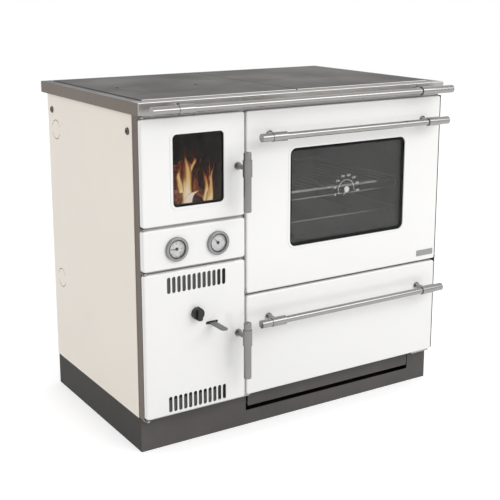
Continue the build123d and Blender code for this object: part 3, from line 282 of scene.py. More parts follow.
screw_steel = finish("screw steel", machined, {"Colour": (0.55, 0.54, 0.52, 1.0)},
                     bump=0.00002, plain={"Metallic": 1.0})
back_low, back_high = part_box("back_panel")
screw_side, screw_end, back_screw = 0.011, 0.02, 0.0042
screw_run = back_high.z - back_low.z - 2 * screw_end
back_rows = [back_low.z + screw_end + screw_run * i / 4 for i in range(5)]
back_screws = [(side * (back_high.x - screw_side), back_high.y, z)
               for side in (-1, 1) for z in back_rows]
back_screws += [(x, back_high.y, back_rows[row])
                for x, row in ((-0.2, 0), (-0.2, -1), (0.0, 0), (0.0, -1), (0.15, 0))]
piece("back_screws", *together(screw_head(p, (0, 1, 0), back_screw) for p in back_screws),
      screw_steel, "carcass", "screw_steel")

# ---------------------------------------------------------------- side panels
# Steel panels, folded at their edges and enamelled, in a warm cream that is painted warm light from
# the left. Two scored rounds can be knocked out for pipes, with painted shadow in their grooves;
# two blackened screws hold each panel to the posts.


def mixed(mask, a, b):
    """Colour b over colour a, where the mask is 1."""
    return add(mask.id_data, "Mix", {0: mask, 6: a, 7: b}, data_type="RGBA").outputs[2]


vitreous, given, out = effect(
    "vitreous enamel", {"Colour": (0.9, 0.9, 0.9, 1.0), "Ripple": 38.0, "Gloss": 0.15,
                        "Mottle": 0.012, "Speckle": 0.0})
wave = cloud(vitreous, given["Ripple"], 2.0)
peel = cloud(vitreous, 650.0, 1.0)
shade = calc("MULTIPLY_ADD", swing(vitreous, 0.3, 4.0, 3.0), given["Mottle"], 1.0)
fleck = add(vitreous, "TexVoronoi", {"Vector": surface(vitreous), "Scale": 260.0})
fleck = between(fleck.outputs["Distance"], 0.2, 0.12)
fleck = calc("MULTIPLY", fleck, given["Speckle"])
glaze = scaled(given["Colour"], shade)
give(out, Colour=mixed(fleck, glaze, (0.55, 0.57, 0.6, 1.0)),
     Roughness=calc("MULTIPLY_ADD", wave, 0.05, given["Gloss"]),
     Height=calc("MULTIPLY_ADD", peel, 0.06, wave))

# Painted warm light: the white side enamel is given a cream tone.
panel_warm_light = (0.93, 0.855, 0.765, 1.0)
side_enamel = finish("side enamel", vitreous,
                     {"Colour": panel_warm_light, "Gloss": 0.3, "Mottle": 0.02}, bump=0.0004)
coat(side_enamel, "side_panel_left", "side_panel_right")
black_screw = finish("blackened screw", machined,
                     {"Colour": (0.1, 0.095, 0.09, 1.0), "Polish": 0.45},
                     bump=0.00002, plain={"Metallic": 0.9})
coat(black_screw, "panel_screws")

# Black for soot, and for the painted shadow in the knock-out grooves.
soot_and_shade_black = (0.012, 0.011, 0.01, 1.0)
knockout_y, knockout_rows = 0.213, (0.7285, 0.32)
groove_in, groove_out, groove_top, groove_floor = 0.0245, 0.0259, 0.0003, 0.0009
groove = ((groove_in, groove_top), (groove_out, groove_top),
          (groove_out, groove_floor), (groove_in, groove_floor))
half_bridge, groove_steps = 21, 24
# Thin near-black arcs laid in the scored grooves: painted shadow.
groove_shades = []
for x, inward in ((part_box("side_panel_left")[0].x, 1), (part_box("side_panel_right")[1].x, -1)):
    for z in knockout_rows:
        for start in (half_bridge, 180 + half_bridge):
            turns = [radians(start + (180 - 2 * half_bridge) * i / groove_steps)
                     for i in range(groove_steps + 1)]
            groove_shades.append(skin([[(x + inward * deep, knockout_y + r * cos(a), z + r * sin(a))
                                  for r, deep in groove] for a in turns]))
groove_shade = finish("groove shade", powder_coat, {"Colour": soot_and_shade_black, "Sheen": 0.8},
                     bump=0.00002, plain={"Specular IOR Level": 0.1})
piece("knockout_groove_shade", *together(groove_shades), groove_shade, "carcass", "plinth_paint")

# ---------------------------------------------------------------- front frame
# Folded steel face with a mouth for each bay; the hinge lugs are welded to it. It shows as a narrow
# strip beside the doors and in the gaps between them. Its faces that look sideways are painted a
# darker, warmer steel: painted shade. A steel strip is folded out along its right edge.
upright = Vector((700.0, 700.0, 25.0))
frame_look, given, out = effect(
    "frame steel", {"Face": (0.38, 0.372, 0.363, 1.0), "Side": (0.135, 0.111, 0.09, 1.0),
                    "Polish": 0.38})
# Painted shade: faces that look sideways take the darker side colour.
sideways = axes(surface(frame_look, "Normal"))[0]
sideways = between(calc("ABSOLUTE", sideways), 0.5, 0.9)
grain = swing(frame_look, 0.25, 1.0, 3.0, stretched(frame_look, upright))
shade = calc("MULTIPLY_ADD", grain, 0.08, 1.0)
steel = mixed(sideways, given["Face"], given["Side"])
rough = calc("MULTIPLY_ADD", grain, 0.03, given["Polish"])
give(out, Colour=scaled(steel, shade), Roughness=rough, Height=grain)
frame_steel = finish("frame steel", frame_look, {}, bump=0.00003, plain={"Metallic": 0.8})
coat(frame_steel, "front_frame", "hinge_lugs")
# The strip's near-black steel is painted shade: it draws the dark line of the doors' shaded right
# edges.
edge_shade_steel = finish("edge strip shade", machined,
                    {"Colour": (0.045, 0.043, 0.041, 1.0), "Streaks": upright, "Polish": 0.4},
                    bump=0.00003, plain={"Metallic": 0.9})
coat(edge_shade_steel, "edge_strip")

# ---------------------------------------------------------------- boiler and firebox
# Welded plate round the fire with water between its two walls, a cast front with two
# throats, and a cast grate. The sockets have a one-inch pipe thread.
casting, given, out = effect(
    "sand casting", {"Colour": (0.06, 0.058, 0.056, 1.0), "Soot": 0.5, "Grain": 240.0})
sand = cloud(casting, given["Grain"], 5.0)
soot = between(cloud(casting, 14.0, 4.0), 0.42, 0.6)
soot = calc("MULTIPLY", soot, given["Soot"])
rust = between(cloud(casting, 45.0, 6.0), 0.58, 0.75)
rust = calc("MULTIPLY", rust, 0.35)
brown = mixed(rust, given["Colour"], (0.11, 0.07, 0.045, 1.0))
give(out, Colour=mixed(soot, brown, soot_and_shade_black),
     Roughness=calc("MULTIPLY_ADD", soot, 0.3, 0.55), Height=sand)

iron = finish("cast iron", casting, {"Soot": 0.35}, bump=0.0006, plain={"Metallic": 0.2})
coat(iron, "firebox_door_frame", "ash_door_liner", "firebox_front", "grate")
boiler_plate = finish("boiler plate", casting,
                      {"Colour": (0.05, 0.048, 0.046, 1.0), "Soot": 0.8, "Grain": 90.0},
                      bump=0.0003, plain={"Metallic": 0.1})
coat(boiler_plate, "water_jacket", "firebox", "boiler_sockets")

socket_low, socket_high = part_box("boiler_sockets")
socket_x = (socket_low.x + socket_high.x) / 2
socket_half = (socket_high.x - socket_low.x) / 2
socket_rows = (socket_low.z + socket_half, socket_high.z - socket_half)
thread_pitch, thread_radius, thread_depth, thread_turns = 0.00231, 0.01508, 0.0007, 11
thread_y = socket_high.y - (thread_turns + 1) * thread_pitch


def thread(centre_x, centre_z, steps=32, half_ridge=0.42):
    """Ridge of an inside pipe thread, wound along Y to the socket's mouth."""
    ridge = ((thread_radius, -half_ridge), (thread_radius - thread_depth, 0.0),
             (thread_radius, half_ridge))
    rows = []
    for i in range(thread_turns * steps + 1):
        a = tau * i / steps
        rows.append([(centre_x + r * cos(a), thread_y + thread_pitch * (i / steps + shift),
                      centre_z + r * sin(a)) for r, shift in ridge])
    return skin(rows)


piece("socket_threads", *together(thread(socket_x, z) for z in socket_rows),
      boiler_plate, "carcass", "boiler_plate")

# ---------------------------------------------------------------- the fire
# Split logs of hardwood burning on a bed of embers on the grate, close behind the door's
# glass. The flames are thin sheets that glow and let light through.
random.seed(7)
burnt, given, out = effect(
    "burning wood", {"Bark": (0.09, 0.05, 0.03, 1.0), "Heat": 1.0},
    ("Colour", "Glow", "Roughness", "Height"))
furrow = cloud(burnt, 120.0, 5.0)
crack = add(burnt, "TexVoronoi", {"Vector": surface(burnt), "Scale": 85.0},
            feature="DISTANCE_TO_EDGE").outputs["Distance"]
crack = between(crack, 0.16, 0.02)
char = between(cloud(burnt, 30.0, 4.0), 0.35, 0.6)
ash = between(cloud(burnt, 55.0, 3.0), 0.55, 0.7)
ash = calc("MULTIPLY", ash, 0.55)
dark = mixed(char, given["Bark"], (0.012, 0.01, 0.009, 1.0))
fire = between(cloud(burnt, 26.0, 3.0), 0.45, 0.62)
fire = mixed(fire, (0.16, 0.02, 0.005, 1.0), (0.85, 0.2, 0.04, 1.0))
hot = calc("MULTIPLY_ADD", crack, 0.8, 0.12)
hot = calc("MULTIPLY", hot, given["Heat"])
give(out, Colour=mixed(ash, dark, (0.42, 0.36, 0.32, 1.0)), Glow=scaled(fire, hot),
     Roughness=calc("MULTIPLY_ADD", furrow, 0.2, 0.7), Height=furrow)

glowing = {"Emission Strength": 1.0}
log_bark = finish("burning log", burnt, {"Bark": (0.22, 0.12, 0.1, 1.0), "Heat": 0.36},
                  bump=0.003, plain=glowing)
charred = finish("charred log", burnt, {"Bark": (0.03, 0.022, 0.02, 1.0), "Heat": 0.06},
                 bump=0.003, plain=glowing)
ember_glow = finish("embers", burnt, {"Bark": (0.25, 0.13, 0.1, 1.0), "Heat": 0.9},
                    bump=0.002, plain=glowing)


def log(start, end, radius, corners, seed):
    """Split log, rough, with burnt ends. It is thickest towards its corners, which are
    directions round its axis in radians."""
    start, end = Vector(start), Vector(end)
    axis = (end - start).normalized()
    across = axis.cross(Vector((0, 0, 1))).normalized()
    upward = across.cross(axis)
    last, count, burnt_end = 28, 32, 0.6
    rows = []
    for i in range(last + 1):
        t = i / last
        shrink = min(1.0, 0.62 + 7 * min(t, 1 - t)) if 0 < i < last else burnt_end
        row = []
        for j in range(count):
            a = tau * j / count
            ridge = max(cos(a - c) for c in corners)
            r = radius * (0.78 + 0.22 * ridge) * shrink
            spot = start.lerp(end, t) + (across * cos(a) + upward * sin(a)) * r
            lump = noise.fractal(spot * 55 + Vector((seed, 0, 0)), 0.9, 2.1, 4)
            row.append(spot + (across * cos(a) + upward * sin(a)) * lump * radius * 0.13)
        rows.append(row)
    return skin(rows)


# Start, end, radius, corners and seed of each.
logs = (
    ((-0.320, -0.206, 0.606), (-0.342, 0.03, 0.596), 0.032, (0.4, 2.3, 4.4), 1),
    ((-0.243, -0.213, 0.597), (-0.252, 0.04, 0.592), 0.021, (1.1, 3.4, 5.2), 5),
    ((-0.372, -0.130, 0.646), (-0.238, -0.100, 0.636), 0.026, (0.2, 2.1, 3.9), 9),
    ((-0.292, -0.150, 0.604), (-0.238, -0.110, 0.668), 0.017, (0.9, 2.8, 4.9), 13),
    ((-0.238, -0.204, 0.588), (-0.240, 0.05, 0.592), 0.020, (0.5, 2.5, 4.2), 17),
)
charred_log = ((-0.2590, -0.2225, 0.5905), (-0.264, 0.0, 0.589), 0.0145, (0.5, 2.0, 3.5, 5.0), 23)
piece("logs", *together(log(*each) for each in logs), log_bark, "carcass", "boiler_plate",
      angle=60)
piece("log_charred", *log(*charred_log), charred, "carcass", "boiler_plate", angle=60)


def ember(centre, size, last=8, count=10):
    """Broken lump of glowing charcoal."""
    seed = Vector((random.uniform(0, 90), random.uniform(0, 90), random.uniform(0, 90)))
    stretch = Vector((random.uniform(0.7, 1.3), random.uniform(0.7, 1.3),
                      -random.uniform(0.5, 0.8)))
    rows = []
    for i in range(1, last):
        polar = pi * i / last
        row = []
        for j in range(count):
            a = tau * j / count
            way = Vector((sin(polar) * cos(a), sin(polar) * sin(a), cos(polar)))
            r = size * (1 + 0.45 * noise.noise(way * 1.6 + seed))
            row.append(Vector(centre) + way * stretch * r)
        rows.append(row)
    return skin(rows)


bed_z, bed_depth, ember_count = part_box("grate")[1].z, 0.012, 130
bed_x, bed_y, ember_size = (-0.388, -0.226), (-0.208, 0.05), (0.006, 0.014)
embers = []
for _ in range(ember_count):
    x, y, size = (random.uniform(*span) for span in (bed_x, bed_y, ember_size))
    embers.append(ember((x, y, bed_z + size * 0.5 + random.uniform(0.0, bed_depth)), size))
piece("ember_bed", *together(embers), ember_glow, "carcass", "boiler_plate", angle=25)

# The chart runs across the flame in U and from its root to its tip in V. Core makes a
# flame hotter, and Torn makes its edges more ragged.
flames_look, given, out = effect(
    "flame", {"Seed": 0.0, "Core": 0.5, "Torn": 0.5}, ("Glow", "Alpha"))
chart = axes(surface(flames_look, "UV"))
middle = calc("MULTIPLY_ADD", chart[0], 2.0, -1.0)
middle = calc("ABSOLUTE", middle)
licks = add(flames_look, "CombineXYZ", {0: calc("MULTIPLY", chart[0], 2.6),
                                        1: calc("MULTIPLY", chart[1], 2.2),
                                        2: given["Seed"]})
licks = swing(flames_look, 0.3, 1.6, 3.0, licks.outputs[0])
licks = calc("MULTIPLY", licks, given["Torn"])
higher = calc("MULTIPLY_ADD", chart[1], 0.9, 0.1)
body = calc("SUBTRACT", 1.0, calc("POWER", middle, 1.6))
body = calc("MULTIPLY_ADD", licks, higher, body)
body = calc("SUBTRACT", body, calc("POWER", chart[1], 4.0))
heat = calc("ADD", body, given["Core"])
heat = calc("SUBTRACT", heat, chart[1])
glow = add(flames_look, "ValToRGB", {0: heat})
ramp = glow.color_ramp.elements
ramp[0].color, ramp[1].color = (0.05, 0.008, 0.002, 1.0), (0.55, 0.48, 0.42, 1.0)
for at, colour in ((0.3, (0.2, 0.06, 0.016, 1.0)), (0.5, (0.38, 0.2, 0.06, 1.0)),
                   (0.66, (0.44, 0.31, 0.12, 1.0)), (0.84, (0.52, 0.43, 0.26, 1.0))):
    ramp.new(at).color = colour
give(out, Alpha=between(body, 0.12, 0.62), Glow=glow.outputs[0])


def along_spine(spine, v):
    """X, Z and half width in metres at v, on a smooth curve through the spine's points."""
    last = len(spine) - 1
    k = min(int(v * last), last - 1)
    t = v * last - k
    p, q, r, s = spine[max(k - 1, 0)], spine[k], spine[k + 1], spine[min(k + 2, last)]
    return [0.5 * (2 * q[n] + (r[n] - p[n]) * t + (2 * p[n] - 5 * q[n] + 4 * r[n] - s[n]) * t * t
                   + (3 * q[n] - p[n] - 3 * r[n] + s[n]) * t ** 3) / 1000 for n in range(3)]


def flame(name, y, spine, seed, core, torn):
    """Thin curved sheet of fire. The spine is its points from the root to the tip: X, Z and
    half width in millimetres."""
    rows, columns, thinnest = 40, 12, 0.0006
    points, faces, chart = [], [], []
    for i in range(rows + 1):
        v = i / rows
        x, z, half = along_spine(spine, v)
        for j in range(columns + 1):
            u = j / columns
            side = u * 2 - 1
            curl = 0.004 * sin(v * 7 + seed) + 0.006 * side * side
            points.append((x + side * max(half, thinnest), y + curl, z))
            chart.append((u, v))
    for i in range(rows):
        for j in range(columns):
            a = i * (columns + 1) + j
            faces.append((a, a + 1, a + columns + 2, a + columns + 1))
    fire = finish(name + "_fire", flames_look, {"Seed": float(seed), "Core": core, "Torn": torn},
                  plain={"Base Color": (0, 0, 0, 1), "Roughness": 1.0, "Specular IOR Level": 0.0,
                         "Emission Strength": 1.2})
    made = piece(name, points, faces, fire, "carcass", "boiler_plate", angle=180)
    spread = made.data.uv_layers.new(name="fire")
    for loop in made.data.loops:
        spread.data[loop.index].uv = chart[loop.vertex_index]


flame("flame_main", -0.200,
      ((-277, 564, 20), (-279, 590, 19), (-283, 622, 17), (-283, 652, 16), (-284, 680, 15),
       (-285, 702, 14), (-284, 722, 11)), seed=1, core=0.38, torn=0.35)
flame("flame_base", -0.212,
      ((-285, 586, 11), (-280, 602, 14), (-272, 612, 12), (-264, 617, 8), (-254, 620, 2)),
      seed=31, core=0.7, torn=0.45)
flame("flame_left", -0.205,
      ((-303, 616, 9), (-306, 632, 12), (-307, 648, 12), (-305, 664, 10), (-303, 682, 7),
       (-301, 706, 2)), seed=4, core=0.0, torn=0.6)
flame("flame_tongue", -0.196,
      ((-277, 650, 11), (-268, 676, 12), (-261, 690, 11), (-258, 700, 9), (-261, 724, 2)),
      seed=8, core=-0.1, torn=0.5)
flame("flame_middle", -0.190,
      ((-257, 600, 9), (-251, 632, 10), (-252, 654, 8), (-245, 670, 6), (-239, 690, 1)),
      seed=12, core=-0.45, torn=1.1)
flame("flame_right", -0.220,
      ((-237, 566, 13), (-233, 598, 13), (-228, 622, 11), (-225, 648, 8), (-221, 668, 5),
       (-217, 694, 1)), seed=16, core=0.15, torn=0.5)
flame("flame_right_tip", -0.216,
      ((-242, 580, 12), (-240, 614, 10), (-241, 645, 7), (-244, 672, 4), (-245, 704, 1)),
      seed=21, core=0.0, torn=0.5)
flame("flame_right_between", -0.212,
      ((-232, 590, 12), (-229, 622, 11), (-227, 648, 8), (-226, 672, 5), (-225, 698, 1)),
      seed=27, core=-0.2, torn=0.9)

# ---------------------------------------------------------------- oven
# Enamelled box with rack guides in a smoke casing; a chromed wire rack with a turned-down
# lip and a baking tray with a wire in its rim slide in it. The flue collar leaves at the back.
oven_black = (0.028, 0.028, 0.029, 1.0)
oven_enamel = finish("oven enamel", vitreous,
                     {"Colour": oven_black, "Gloss": 0.22, "Mottle": 0.08, "Speckle": 0.25},
                     bump=0.0005)
coat(oven_enamel, "oven_box", "oven_tray", "oven_door_liner")
stove_paint = finish("stove paint", powder_coat,
                     {"Colour": (0.045, 0.045, 0.047, 1.0), "Grain": 500.0, "Sheen": 0.7},
                     bump=0.0002)
coat(stove_paint, "oven_casing", "flue_collar")
chrome = finish("rack chrome", machined, {"Colour": (0.72, 0.72, 0.72, 1.0), "Polish": 0.16},
                bump=0.00001, plain={"Metallic": 1.0})
coat(chrome, "oven_rack")


def wire(path, radius, normal, loop=False):
    """Round wire along a path that lies in the plane of the normal."""
    turns = [tau * j / 12 for j in range(12)]
    rows = []
    for i, spot in enumerate(path):
        ahead = path[(i + 1) % len(path)] if loop or i + 1 < len(path) else spot
        way = (ahead - path[i - 1] if loop or i else ahead - spot).normalized()
        side = way.cross(normal)
        rows.append([spot + (side * cos(a) + normal * sin(a)) * radius for a in turns])
    return skin(rows, loop)


def bend(a, b, c, turn, steps=6):
    """Points of a corner of the radius turn, at b, on the way from a to c."""
    back, ahead = (a - b).normalized() * turn, (c - b).normalized() * turn
    return [b + back * (1 - sin(t)) + ahead * (1 - cos(t))
            for t in (pi / 2 * i / steps for i in range(steps + 1))]


rack_low, rack_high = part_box("oven_rack")
lip_radius, lip_turn, lip_end = 0.0019, 0.008, 0.014
lip_y, lip_top, lip_z = rack_low.y + 0.003, rack_low.z + 0.001, rack_low.z - 0.018
lip = [Vector((x, lip_y, z)) for x, z in (
    (rack_low.x + lip_end, lip_top), (rack_low.x + lip_end, lip_z),
    (rack_high.x - lip_end, lip_z), (rack_high.x - lip_end, lip_top))]
lip = [lip[0], *bend(*lip[:3], lip_turn), *bend(*lip[1:], lip_turn), lip[3]]
piece("oven_rack_lip", *wire(lip, lip_radius, Vector((0, 1, 0))), chrome, "carcass",
      "rack_chrome", angle=60)
tray_low, tray_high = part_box("oven_tray")
rim_radius, rim_turn, rim_edge, rim_up = 0.0016, 0.0125, 0.0018, 0.0008
rim_left, rim_right = tray_low.x + rim_edge, tray_high.x - rim_edge
rim_front, rim_back = tray_low.y + rim_edge, tray_high.y - rim_edge
rim = [Vector((x, y, tray_high.z + rim_up)) for x, y in (
    (rim_left, rim_front), (rim_right, rim_front), (rim_right, rim_back), (rim_left, rim_back))]
rim = [p for i in range(4) for p in bend(rim[i - 1], rim[i], rim[(i + 1) % 4], rim_turn)]
piece("oven_tray_rim", *wire(rim, rim_radius, Vector((0, 0, 1)), loop=True), chrome, "carcass",
      "rack_chrome", angle=60)

# ---------------------------------------------------------------- top frame and hob
# Brushed steel frame, folded down outside, with two ground steel plates let in. The left plate has
# a round lid over the fire. The edges are broken, and those that face forward and up carry a
# painted highlight.

# The front factor makes the face that looks forward lighter: painted light. The side colour is
# painted shade on the faces that look sideways; Strip is the colour of the flat border beyond Reach
# from the middle, behind Start. The bright colour is a painted highlight on the edges.
painted_light_steel, given, out = effect(
    "steel with painted light", {"Colour": (0.3, 0.3, 0.3, 1.0), "Bright": (0.8, 0.8, 0.8, 1.0),
                    "Streaks": Vector((30.0, 700.0, 700.0)), "Contrast": 0.1, "Polish": 0.35,
                    "Heat": 0.0, "Front": 1.0, "Side": (0.3, 0.3, 0.3, 1.0),
                    "Strip": (0.3, 0.3, 0.3, 1.0), "Reach": 9.0, "Start": 0.0})
facing = axes(add(painted_light_steel, "VectorMath", {0: surface(painted_light_steel, "Normal")},
                  operation="ABSOLUTE").outputs[0])
steepest = calc("MAXIMUM", facing[0], facing[1])
steepest = calc("MAXIMUM", steepest, facing[2])
# Painted highlight on the edges that face forward and up.
edge = between(steepest, 0.985, 0.93)
edge = calc("MULTIPLY", edge, between(facing[2], 0.12, 0.2))
edge = calc("MULTIPLY", edge, between(facing[0], 0.4, 0.2))
streak = swing(painted_light_steel, 0.25, 1.0, 4.0, stretched(painted_light_steel, given["Streaks"]))
use = swing(painted_light_steel, 0.35, 5.0, 6.0)
# Painted light: the face that looks forward is made lighter.
front = calc("SUBTRACT", given["Front"], 1.0)
front = calc("MULTIPLY_ADD", between(facing[1], 0.75, 0.95), front, 1.0)
shade = calc("MULTIPLY_ADD", streak, given["Contrast"], 1.0)
shade = calc("MULTIPLY_ADD", use, 0.05, shade)
shade = calc("MULTIPLY", shade, front)
spot = axes(surface(painted_light_steel))
beyond = calc("GREATER_THAN", calc("ABSOLUTE", spot[0]), given["Reach"])
strip = calc("MULTIPLY", beyond, between(facing[1], 0.9, 0.1))
started = calc("GREATER_THAN", spot[1], given["Start"])
strip = calc("MULTIPLY", strip, calc("MAXIMUM", facing[0], started))
# Painted shade: the border's faces that look sideways take the side colour.
outer = calc("MULTIPLY", strip, between(facing[0], 0.05, 0.9))
warm = between(cloud(painted_light_steel, 3.0, 3.0), 0.4, 0.7)
warm = calc("MULTIPLY", warm, given["Heat"])
steel = mixed(strip, given["Colour"], given["Strip"])
steel = scaled(mixed(outer, steel, given["Side"]), shade)
steel = mixed(warm, steel, (0.16, 0.135, 0.12, 1.0))
rough = calc("MULTIPLY_ADD", use, 0.06, given["Polish"])
rough = calc("MULTIPLY_ADD", streak, 0.04, rough)
give(out, Colour=mixed(edge, steel, given["Bright"]), Roughness=rough, Height=streak)

plate_low, plate_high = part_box("hob_plate_right")
# The top frame's front is painted lighter and its sides darker and warmer: painted light and shade.
top_steel = finish("top steel", painted_light_steel,
                   {"Colour": (0.3, 0.288, 0.275, 1.0), "Front": 1.4,
                    "Side": (0.18, 0.153, 0.13, 1.0), "Strip": (0.075, 0.073, 0.07, 1.0),
                    "Reach": plate_high.x + 0.0002, "Start": plate_low.y}, bump=0.00002,
                   plain={"Metallic": 1.0, "Specular Tint": (0.85, 0.85, 0.85, 1.0)})
coat(top_steel, "top_frame")
ground = {"Metallic": 1.0, "Specular Tint": (0.75, 0.74, 0.73, 1.0)}
# The hob plates and lid keep the group's painted edge highlight.
hob_steel = finish("hob steel", painted_light_steel,
                   {"Colour": (0.067, 0.067, 0.065, 1.0), "Streaks": Vector((14.0, 500.0, 500.0)),
                    "Contrast": 0.07, "Polish": 0.42, "Heat": 0.2}, bump=0.00003, plain=ground)
coat(hob_steel, "hob_plate_left", "hob_plate_right")
lid_steel = finish("lid steel", painted_light_steel,
                   {"Colour": (0.066, 0.066, 0.064, 1.0), "Streaks": Vector((400.0, 30.0, 400.0)),
                    "Contrast": 0.07, "Polish": 0.4, "Heat": 0.4}, bump=0.00003, plain=ground)
coat(lid_steel, "hob_lid")

# ---------------------------------------------------------------- rails and handles
# Round stainless bars, turned and polished, held in collars on posts with rosettes. The
# two upright grips are brushed along their length and turn their latches.
bar_steel = finish("bar steel", machined,
                   {"Colour": (0.31, 0.305, 0.298, 1.0), "Streaks": Vector((900.0, 60.0, 60.0)),
                    "Contrast": 0.05, "Polish": 0.15, "Smudge": 0.03},
                   bump=0.00001, plain={"Metallic": 1.0})
coat(bar_steel, "top_rail", "oven_handle", "drawer_handle")
grip_steel = finish("grip steel", machined,
                    {"Colour": (0.25, 0.248, 0.245, 1.0), "Streaks": Vector((900.0, 900.0, 60.0)),
                     "Contrast": 0.06, "Polish": 0.3}, bump=0.00001, plain={"Metallic": 1.0})
coat(grip_steel, "firebox_handle", "ash_handle")

# ---------------------------------------------------------------- firebox door
# Pressed and enamelled pan over a cast frame that holds the ceramic glass and a rope
# seal, hung on two pins at the left. The other fronts have the same enamel.
door_white = (0.895, 0.89, 0.88, 1.0)
door_enamel = finish("door enamel", vitreous, {"Colour": door_white, "Gloss": 0.12}, bump=0.0003,
                     plain={"Coat Weight": 0.3, "Coat Roughness": 0.05})
coat(door_enamel, "firebox_door_panel", "ash_door_panel", "gauge_panel", "oven_door_panel",
     "drawer_front")

smears, given, out = effect("glass smears", {"Tint": (0.9, 0.9, 0.9, 1.0), "Haze": 0.02},
                            ("Colour", "Roughness"))
film = between(cloud(smears, 16.0, 5.0), 0.45, 0.7)
shade = calc("MULTIPLY_ADD", film, -0.06, 1.0)
give(out, Colour=scaled(given["Tint"], shade), Roughness=calc("MULTIPLY", film, given["Haze"]))

fire_glass = finish("fire glass", smears, {"Tint": (0.93, 0.9, 0.87, 1.0), "Haze": 0.01},
                    plain={"Transmission Weight": 1.0, "IOR": 1.22})
coat(fire_glass, "firebox_door_glass")

braided, given, out = effect("rope yarn", {"Colour": (0.55, 0.53, 0.5, 1.0), "Yarn": 1400.0})
fibre = cloud(braided, given["Yarn"], 3.0)
dusty = between(cloud(braided, 60.0, 4.0), 0.45, 0.7)
dusty = calc("MULTIPLY", dusty, 0.5)
yarn = scaled(given["Colour"], calc("MULTIPLY_ADD", fibre, 0.6, 0.7))
give(out, Colour=mixed(dusty, yarn, (0.16, 0.15, 0.14, 1.0)),
     Roughness=calc("MULTIPLY_ADD", fibre, 0.2, 0.75), Height=fibre)
rope_yarn = finish("rope yarn", braided, {}, bump=0.0006)


def outline(low, high, inset, corner):
    """Rounded rectangle in the XZ plane, within a box."""
    x0, x1, z0, z1 = low.x + inset, high.x - inset, low.z + inset, high.z - inset
    path = []
    for cx, cz, start in ((x1 - corner, z1 - corner, 0), (x0 + corner, z1 - corner, 90),
                          (x0 + corner, z0 + corner, 180), (x1 - corner, z0 + corner, 270)):
        for i in range(7):
            a = radians(start + 15 * i)
            path.append(Vector((cx + corner * cos(a), cz + corner * sin(a))))
    return path


def rope(name, node, body):
    """Round rope of three twisted strands, pressed into its groove along the seal's run."""
    low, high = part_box(node)
    half, corner, lay, step = 0.004, 0.01, 0.011, 0.0026
    deep, middle_y = (high.y - low.y) / 2, (low.y + high.y) / 2
    path = outline(low, high, half, corner)
    even = []
    for a, b in zip(path, path[1:] + path[:1]):
        steps = max(1, round((b - a).length / step))
        even += [a.lerp(b, i / steps) for i in range(steps)]
    run = sum((b - a).length for a, b in zip(even, even[1:] + even[:1]))
    turns = round(run / lay)
    rows, gone = [], 0.0
    for i, p in enumerate(even):
        ahead, behind = even[(i + 1) % len(even)], even[i - 1]
        way = (ahead - behind).normalized()
        side = Vector((-way.y, way.x))
        twist = tau * turns * gone / run
        row = []
        for a in (tau * j / 18 for j in range(18)):
            swell = 0.9 + 0.1 * cos(3 * a - twist)
            off, depth = half * swell * cos(a), deep * swell * sin(a)
            row.append((p.x + side.x * off, middle_y + depth, p.y + side.y * off))
        rows.append(row)
        gone += (ahead - p).length
    made = piece(name, *skin(rows, loop=True), rope_yarn, body, "rope", angle=180)
    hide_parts(node)


rope("firebox_rope", "firebox_door_seal", "firebox_door")

clip_steel = finish("clip steel", machined, {"Colour": (0.03, 0.028, 0.026, 1.0), "Polish": 0.6},
                    bump=0.00003, plain={"Metallic": 0.5})
door_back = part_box("firebox_door_frame")[1].y
pane_low, pane_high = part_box("firebox_door_glass")
clip_rows, clip_off, clip_screw = (0.64, 0.735), 0.0145, 0.0032


def glass_clip(x, z, turn):
    """Bent spring clip on the inside of a door, its toe on the glass frame, with a screw."""
    length, wide, thick, toe = 0.026, 0.009, 0.0012, 0.0006
    profile = ((0.0, 0.0), (length * 0.55, 0.0), (length * 0.7, -toe), (length, -toe),
               (length, thick - toe), (length * 0.68, thick - toe), (length * 0.55, thick),
               (0.0, thick))
    lean = Matrix.Rotation(radians(turn), 3, "Y")
    foot = Vector((x, door_back, z))
    rows = [[foot + lean @ Vector((a, max(b, 0.0), wide * s)) for a, b in profile]
            for s in (-0.5, -0.42, 0.42, 0.5)]
    head = Vector((x, door_back + thick, z)) + lean @ Vector((length * 0.3, 0.0, 0.0))
    return together((skin(rows), screw_head(head, (0, 1, 0), clip_screw)))


clips = [glass_clip(x, z, turn) for x, turn in ((pane_low.x - clip_off, 0),
                                                (pane_high.x + clip_off, 180)) for z in clip_rows]
piece("firebox_glass_clips", *together(clips), clip_steel, "firebox_door", "cast_iron")

# ---------------------------------------------------------------- gauges
# Two turned cases with chromed bezels in an enamelled panel: water temperature on the left, boiler
# pressure on the right. Black hands turn on pale printed dials, under glasses held by rubber
# gaskets, whose black ring is also painted shade between bezel and dial.
bezel = finish("bezel", machined,
               {"Colour": (0.26, 0.26, 0.262, 1.0), "Streaks": Vector((300.0, 300.0, 300.0)),
                "Polish": 0.24}, bump=0.00001, plain={"Metallic": 1.0})
coat(bezel, "gauge_cases")
dial_paint = finish("dial paint", powder_coat,
                    {"Colour": (0.7, 0.695, 0.69, 1.0), "Grain": 1500.0, "Mottle": 0.02,
                     "Sheen": 0.5}, bump=0.00001)
coat(dial_paint, "gauge_dials")
hand_black = finish("hand paint", powder_coat,
                    {"Colour": (0.035, 0.035, 0.037, 1.0), "Grain": 1500.0}, bump=0.00001)
coat(hand_black, "thermometer_needle", "pressure_needle")
clear_glass = finish("gauge glass", smears, {"Tint": (0.98, 0.98, 0.98, 1.0), "Haze": 0.01},
                     plain={"Transmission Weight": 1.0, "IOR": 1.2})
coat(clear_glass, "gauge_glasses")
gasket_rubber_and_shade = finish("gasket rubber and shade", powder_coat,
                       {"Colour": (0.035, 0.035, 0.036, 1.0), "Sheen": 0.65}, bump=0.00002)
